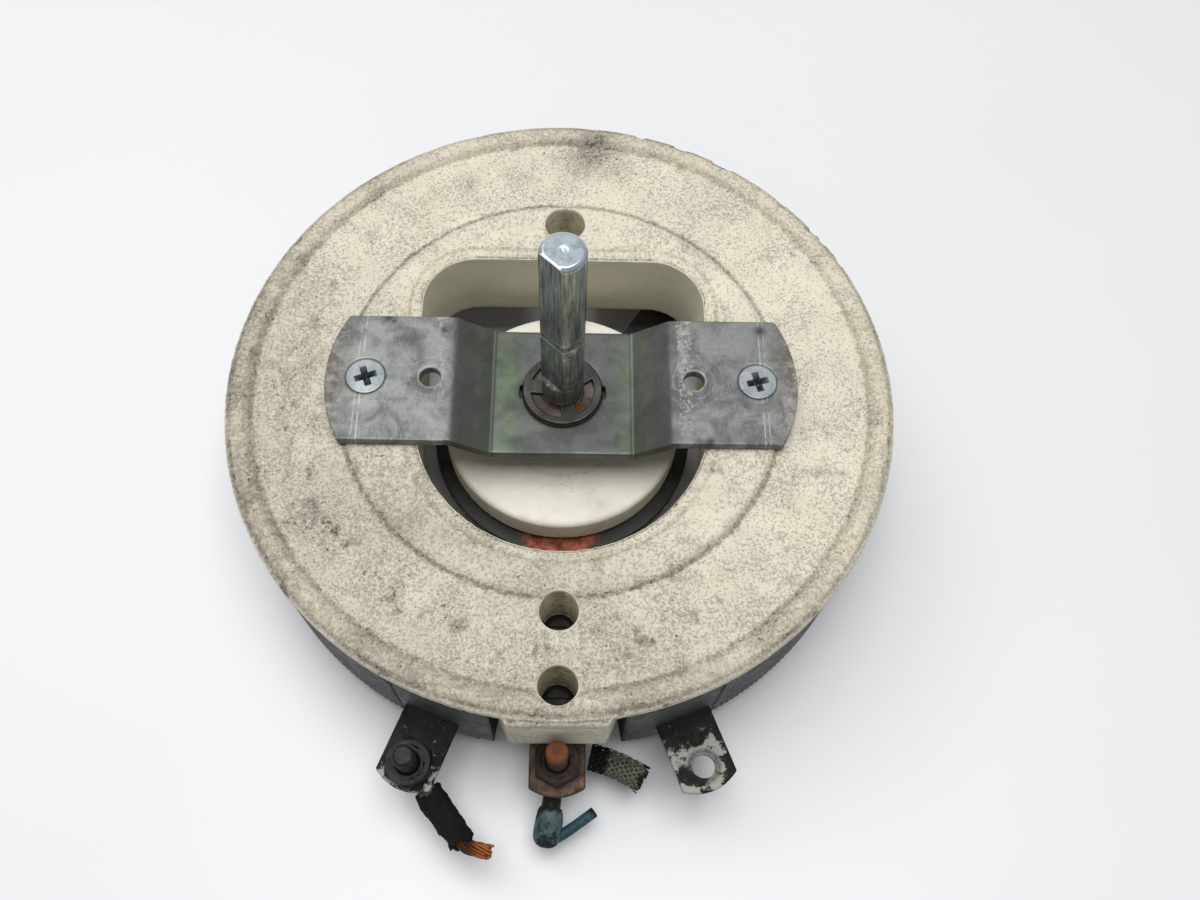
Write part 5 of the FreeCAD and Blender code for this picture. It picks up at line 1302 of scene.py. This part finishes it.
def make_bracket():
    """Bent zinc-plated strip with soft sheared edges."""
    strip = recast("mounting_bracket", "bracket_strip", 0.3 * MM, 3)
    co = points_of(strip)
    push(strip, fractal(co, 9 * MM, 2, 101) * 0.05 * MM + fractal(co, 1.3 * MM, 2, 103) * 0.015 * MM)
    co = points_of(strip)
    dirt_and_shade = smoothstep(0.01 * MM, 0.05 * MM, cavity(strip, 3)) * 0.6
    nick = np.zeros(len(co))
    for x, y, size in ((-40.2, 15.6, 1.1), (-39.2, 14.6, 0.7), (45.8, 13.5, 1.3), (-27.5, 12.4, 0.7), (33.0, -15.4, 1.0)):
        spot = np.hypot(co[:, 0] - x * MM, co[:, 1] - y * MM) / (size * MM)
        nick = np.maximum(nick, np.exp(-spot ** 2) * 0.9)
    # Painted shade: down-facing faces of the strip are darkened.
    under = smoothstep(0.2, -0.5, normals_of(strip)[:, 2]) * 0.25
    paint(strip, "grime_and_shade", dirt_and_shade + nick + under)
    return dress(strip, "mounting_bracket")


def make_bracket_fastener(side):
    """Flat-head screw with a cross recess, and its washer and nut behind the base."""
    node = f"{side}_bracket_screw"
    low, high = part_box(node)
    centre = ((low.x + high.x) / 2, (low.y + high.y) / 2)
    head_r = (high.x - low.x) / 2 - 0.3 * MM
    shank = 2.4 * MM
    cone = 2.2 * MM
    outline = [(0, low.z), (shank - 0.4 * MM, low.z), (shank, low.z + 0.4 * MM), (shank, high.z - cone),
               (head_r, high.z - 0.25 * MM), (head_r, high.z), (0, high.z)]
    fine = finer(rounded(outline, 0.12 * MM), 0.2 * MM)
    shape = thread(low.z + 0.3 * MM, high.z - 8 * MM, 0.8 * MM, 0.25 * MM, shank)
    screw = lathe(f"{side}_flat_head_screw", fine, 64, centre, shape)

    turn = math.radians(20 if side == "left" else 14)
    blades = []
    for extra in (0.0, math.pi / 2):
        bm = bmesh.new()
        bmesh.ops.create_cube(bm, size=1)
        for v in bm.verts:
            top = v.co.z > 0
            v.co.x *= (5.5 if top else 2.4) * MM
            v.co.y *= (1.7 if top else 0.8) * MM
            v.co.z = 0.3 * MM if top else -2.0 * MM
        bmesh.ops.rotate(bm, verts=bm.verts, matrix=Matrix.Rotation(turn + extra, 3, "Z"))
        bmesh.ops.translate(bm, verts=bm.verts, vec=(*centre, high.z))
        mesh = bpy.data.meshes.new("blade")
        bm.to_mesh(mesh)
        bm.free()
        blades.append(add_object("blade", mesh))
    for blade in blades:
        cutter = screw.modifiers.new("recess", "BOOLEAN")
        cutter.operation = "DIFFERENCE"
        cutter.object = blade
        cutter.solver = "EXACT"
    bake_modifiers(screw)
    for blade in blades:
        bpy.data.objects.remove(blade)
    screw.data.polygons.foreach_set("use_smooth", [True] * len(screw.data.polygons))
    screw.data.set_sharp_from_angle(angle=math.radians(32))
    co = points_of(screw)
    depth = high.z - co[:, 2]
    reach = np.hypot(co[:, 0] - centre[0], co[:, 1] - centre[1])
    recess = (depth > 0.08 * MM) * (depth < 2.1 * MM) * (reach < head_r - depth - 0.2 * MM)
    paint(screw, "grime_and_shade", recess * 1.0 + smoothstep(3 * MM, 9 * MM, depth) * 0.3)
    dress(screw, node)
    dress(washer(f"{side}_bracket_washer", f"{side}_screw_washer"), f"{side}_bracket_washer")
    dress(hex_nut(f"{side}_bracket_nut", f"{side}_screw_nut"), f"{side}_bracket_nut")


# ---------------------------------------------------------------- shaft and what turns with it

FLAT_DISTANCE = 3.5 * MM
FLAT_DIRECTION = math.radians(-133)
FLAT_FOOT = 2.5 * MM


def make_shaft():
    """Control shaft with its flat, turned groove, clip groove and the marks of a set screw."""
    low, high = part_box("control_shaft")
    radius = 4.7625 * MM
    clip_low, clip_high = -5.65 * MM, -4.55 * MM
    outline = [(0, low.z), (radius - 0.5 * MM, low.z), (radius, low.z + 0.5 * MM), (radius, clip_low),
               (3.95 * MM, clip_low), (3.95 * MM, clip_high), (radius, clip_high),
               (radius, high.z - 0.8 * MM), (radius - 0.8 * MM, high.z), (0, high.z)]
    fine = finer(rounded(outline, 0.22 * MM), 0.3 * MM)
    scores = ((19.3, 0.16, 0.30), (20.6, 0.10, 0.22), (18.1, 0.05, 0.18), (12.2, 0.04, 0.2), (FLAT_FOOT / MM, 0.2, 0.3),
              (0.6, 0.07, 0.22), (-1.6, 0.08, 0.25))

    def shape(angle, r, z):
        if z > FLAT_FOOT:
            away = (angle - FLAT_DIRECTION + math.pi) % TAU - math.pi
            if abs(away) < math.pi / 2 - 0.05:
                share = (FLAT_DISTANCE - (0.5 * MM if z > high.z - 0.25 * MM else 0)) / math.cos(away)
                r = min(r, share)
        if r > 3 * MM:
            for place, depth, width in scores:
                wobble = 0.5 + 0.5 * math.sin(angle * 2 + place) if place > 5 else 1.0
                r -= depth * MM * wobble * math.exp(-((z / MM - place) / width) ** 2)
        return r

    shaft = lathe("shaft_rod", fine, 120, (0, 0), shape, turn=FLAT_DIRECTION)
    co = points_of(shaft)
    reach = np.hypot(co[:, 0], co[:, 1])
    top = co[:, 2] > high.z - 0.05 * MM
    co[:, 2] -= np.where(top, np.exp(-(reach / (0.55 * MM)) ** 2) * 0.45 * MM, 0)
    angle = np.arctan2(co[:, 1], co[:, 0])
    for around, z, size, depth in ((-62, 19.6, 1.5, 0.5), (-48, 21.0, 1.0, 0.3), (-95, 20.2, 0.9, 0.25)):
        arc = (angle - math.radians(around) + math.pi) % TAU - math.pi
        spot = np.hypot(arc * radius, co[:, 2] - z * MM) / (size * MM)
        dent = np.exp(-spot ** 2) * depth * MM * (reach > 3 * MM)
        co[:, :2] *= (1 - dent / reach.clip(1e-6))[:, None]
    set_points(shaft, co)
    scar = np.exp(-((co[:, 2] - 20 * MM) / (1.1 * MM)) ** 2) * smoothstep(0.0, 0.5, fractal(co, 1.6 * MM, 3, 95)) * 0.9
    marks = scar + sum(np.exp(-((co[:, 2] / MM - place) / width) ** 2) * min(1, depth * 5) for place, depth, width in scores)
    rim = np.exp(-((reach - 0.7 * MM) / (0.35 * MM)) ** 2) * top * 0.4
    paint(shaft, "grime_and_shade", (marks * 0.7 + rim) * (co[:, 2] > -6 * MM) + (co[:, 2] < -6 * MM) * 0.35)
    shaft.data.set_sharp_from_angle(angle=math.radians(30))
    return dress(shaft, "control_shaft")


def make_recast_pieces():
    """Plain worked parts: softened edges, slight unevenness, and grime where they are hollow."""
    pieces = (
        ("insulating_hub", "hub_disc", 0.36, 4, 0.04), ("collector_ring", "collector_plate", 0.26, 3, 0.05),
        ("contact_arm", "arm_strip", 0.26, 3, 0.03), ("retaining_ring", "shaft_clip", 0.13, 3, 0.01),
        ("shaft_bushing", "panel_bushing", 0.22, 3, 0.02), ("brush_holder", "brush_cup", 0.2, 3, 0.01),
        ("contact_brush", "graphite_brush", 0.2, 3, 0.01), ("collector_contact", "contact_stud", 0.16, 3, 0.01),
        ("collector_spacer", "fibre_spacer", 0.3, 3, 0.03), ("cement_bed", "cement_bead", 0.5, 2, 0.12),
        ("hub_drive_pin", "drive_pin", 0.2, 3, 0.0),
    )
    for node, name, voxel, smooth, uneven in pieces:
        piece = recast(node, name, voxel * MM, smooth)
        if node == "collector_ring":
            bow_end(piece, -math.pi / 2, 87.5 * MM, 11 * MM, 82.5 * MM)
        co = points_of(piece)
        push(piece, fractal(co, 3.0 * MM, 3, len(name)) * uneven * MM)
        hollow = smoothstep(0.008 * MM, 0.05 * MM, cavity(piece, 3))
        if node == "insulating_hub":
            reach = np.hypot(co[:, 0], co[:, 1])
            ring = np.exp(-((reach - 15.6 * MM) / (0.35 * MM)) ** 2) * 0.22
            # Painted shade: down-facing faces of the hub are darkened.
            under = smoothstep(0.3, -0.4, normals_of(piece)[:, 2]) * 0.15
            rim = smoothstep(27.0 * MM, 28.4 * MM, reach) * 0.15
            smudge = smoothstep(0.30, 0.75, fractal(co, 4.5 * MM, 4, 57)) * 0.45
            paint(piece, "grime_and_shade", hollow * 0.6 + ring + under + rim + smudge * 0.5)
        elif node == "shaft_bushing":
            paint(piece, "grime_and_shade", hollow * 0.7 + 0.2)
            paint(piece, "rust", smoothstep(0.0, 0.6, fractal(co, 4 * MM, 3, 5)))
        else:
            paint(piece, "grime_and_shade", hollow * 0.7 + smoothstep(0.35, 0.8, fractal(co, 5 * MM, 3, 9)) * 0.3)
        dress(piece, node)


def make_fastenings():
    """Collector screws and nuts, and the washers and nut that hold the hub and the arm."""
    for place in ("inner", "outer"):
        node = f"{place}_collector_screw"
        low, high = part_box(node)
        centre = ((low.x + high.x) / 2, (low.y + high.y) / 2)
        head_r, shank, head = (high.x - low.x) / 2, 2.1 * MM, 2.6 * MM
        outline = [(0, low.z), (shank - 0.3 * MM, low.z), (shank, low.z + 0.3 * MM), (shank, high.z - head),
                   (head_r, high.z - head), (head_r, high.z - 1.0 * MM), (head_r * 0.72, high.z - 0.2 * MM), (0, high.z)]
        shape = thread(low.z + 0.2 * MM, high.z - head - 3 * MM, 0.7 * MM, 0.2 * MM, shank)
        screw = lathe(f"{place}_pan_screw", finer(rounded(outline, 0.25 * MM), 0.2 * MM), 48, centre, shape)
        slot = bmesh.new()
        bmesh.ops.create_cube(slot, size=1)
        bmesh.ops.scale(slot, verts=slot.verts, vec=(10 * MM, 1.0 * MM, 2.0 * MM))
        bmesh.ops.translate(slot, verts=slot.verts, vec=(*centre, high.z))
        mesh = bpy.data.meshes.new("slot")
        slot.to_mesh(mesh)
        slot.free()
        blade = add_object("slot", mesh)
        cutter = screw.modifiers.new("slot", "BOOLEAN")
        cutter.object = blade
        cutter.solver = "EXACT"
        bake_modifiers(screw)
        bpy.data.objects.remove(blade)
        screw.data.polygons.foreach_set("use_smooth", [True] * len(screw.data.polygons))
        screw.data.set_sharp_from_angle(angle=math.radians(35))
        paint(screw, "grime_and_shade", np.full(len(screw.data.vertices), 0.3))
        dress(screw, node)
        dress(hex_nut(f"{place}_collector_nut", f"{place}_clamp_nut"), f"{place}_collector_nut")
    for node, name in (("thrust_washer", "bearing_washer"), ("arm_clamp_plate", "clamp_disc"),
                       ("shaft_lock_washer", "lock_washer")):
        dress(washer(node, name, 0.2 * MM), node)
    dress(hex_nut("shaft_nut", "rotor_nut"), "shaft_nut")


def make_shunt():
    """Flexible copper lead of twisted strands along the underside of the arm."""
    low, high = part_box("brush_shunt")
    co = points_of(nodes["brush_shunt"])
    direction = np.array([math.cos(math.radians(57)), math.sin(math.radians(57)), 0])
    reach = co @ direction
    stops = []
    for share in np.linspace(0, 1, 15):
        want = reach.min() + share * (reach.max() - reach.min())
        close = co[np.abs(reach - want) < 1.6 * MM]
        if len(close):
            middle = (close.max(0) + close.min(0)) / 2
            stops.append(Vector(direction * want) + Vector((0, 0, middle[2])))
    route = smooth_line(stops, 80)
    frames = grid_frame(route)
    strands = []
    count = 9
    for c in range(count):
        line = []
        for i, (p, ahead, side, up) in enumerate(frames):
            a = TAU * c / count + i * 0.22
            line.append(p + (side * math.cos(a) + up * math.sin(a)) * 0.68 * MM)
        strands.append(tube("strand", line, 0.30 * MM, 8))
    lead = join("shunt_strands", strands)
    lead.data.polygons.foreach_set("use_smooth", [True] * len(lead.data.polygons))
    dress(lead, "brush_shunt")


def make_spring():
    """Open coil spring under the brush, at one fixed length."""
    low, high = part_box("brush_spring")
    wire = 0.2 * MM
    radius = (high.x - low.x) / 2 - wire
    centre = (low + high) / 2
    turns, steps = 3, 150
    route = []
    for i in range(steps + 1):
        a = TAU * turns * i / steps
        rise = (high.z - low.z - 2 * wire) * float(smoothstep(0.06, 0.94, i / steps))
        route.append(Vector((centre.x + radius * math.cos(a), centre.y + radius * math.sin(a), low.z + wire + rise)))
    coil = tube("brush_coil", route, wire, 12)
    coil.data.polygons.foreach_set("use_smooth", [True] * len(coil.data.polygons))
    dress(coil, "brush_spring")
    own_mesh(coil)


def dress_cad(node):
    """A CAD node that stays in view, with its slot's material."""
    obj = nodes[node]
    obj.data.materials.clear()
    obj.data.materials.append(MATERIALS[SLOTS[node]])
    for name in ("grime_and_shade", "rust", "oxide"):
        paint(obj, name, np.zeros(len(obj.data.vertices)))


make_base()
make_enamel()
for side, sign in (("left", -1), ("right", 1)):
    dress_cap(end_cap(side, sign))
    make_lug(side)
    make_bracket_fastener(side)
make_winding()
make_bracket()
make_shaft()
make_recast_pieces()
make_fastenings()
make_shunt()
make_spring()
for place in ("left", "centre"):
    make_stud(place)
    make_crimp(place)
make_burnt_lead()
make_blue_lead()
make_braid()
for node in ("winding_core",):
    dress_cad(node)


# ---------------------------------------------------------------- table, light and camera

def make_table():
    """Wide white table top below the lowest point of the part."""
    floor_z = cad_box[0][2] - 0.1 * MM
    half = 1.6
    verts = [(-half, -half, floor_z), (half, -half, floor_z), (half, half, floor_z), (-half, half, floor_z)]
    table = mesh_object("table_top", verts, [(0, 1, 2, 3)])
    p = Paint("white_table")
    tone = p.mix(p.noise(60 * MM, 4), (0.775, 0.785, 0.80), (0.81, 0.815, 0.825))
    p.set(Base_Color=tone, Roughness=0.42)
    table.data.materials.append(p.material)


def add_light(name, place, target, size, power, colour=(1, 1, 1)):
    data = bpy.data.lights.new(name, "AREA")
    data.shape = "SQUARE"
    data.size = size
    data.energy = power
    data.color = colour
    light = bpy.data.objects.new(name, data)
    light.location = place
    light.rotation_euler = (Vector(target) - Vector(place)).to_track_quat("-Z", "Y").to_euler()
    bpy.context.scene.collection.objects.link(light)


def make_light():
    add_light("window", (-0.50, 0.45, 1.05), (0, 0, 0), 0.8, 5.5, (1.0, 0.99, 0.97))
    add_light("ceiling", (0.06, 0.0, 1.30), (0, 0, 0), 0.8, 13.0)
    world = bpy.data.worlds.new("studio")
    world.use_nodes = True
    world.node_tree.nodes["Background"].inputs[0].default_value = (0.93, 0.965, 1.0, 1)
    world.node_tree.nodes["Background"].inputs[1].default_value = 0.22
    bpy.context.scene.world = world


def make_camera():
    """Camera close above the front, looking down at the part."""
    pitch, yaw, roll = math.radians(64.57), math.radians(-3.90), math.radians(4.29)
    ahead = Vector((0, math.cos(pitch), -math.sin(pitch)))
    right = Vector((1, 0, 0))
    level = Matrix((right, right.cross(ahead), -ahead)).transposed()
    rotation = Matrix.Rotation(yaw, 3, "Z") @ level @ Matrix.Rotation(roll, 3, "Z")
    data = bpy.data.cameras.new("camera")
    data.sensor_width = 36
    data.lens = 33.14
    data.clip_start = 0.005
    camera = bpy.data.objects.new("camera", data)
    camera.matrix_world = Matrix.LocRotScale((0.001375, -0.12184, 0.21945), rotation.to_quaternion(), None)
    bpy.context.scene.collection.objects.link(camera)
    bpy.context.scene.camera = camera


bpy.context.scene.view_settings.view_transform = "Standard"
make_table()
make_light()
make_camera()
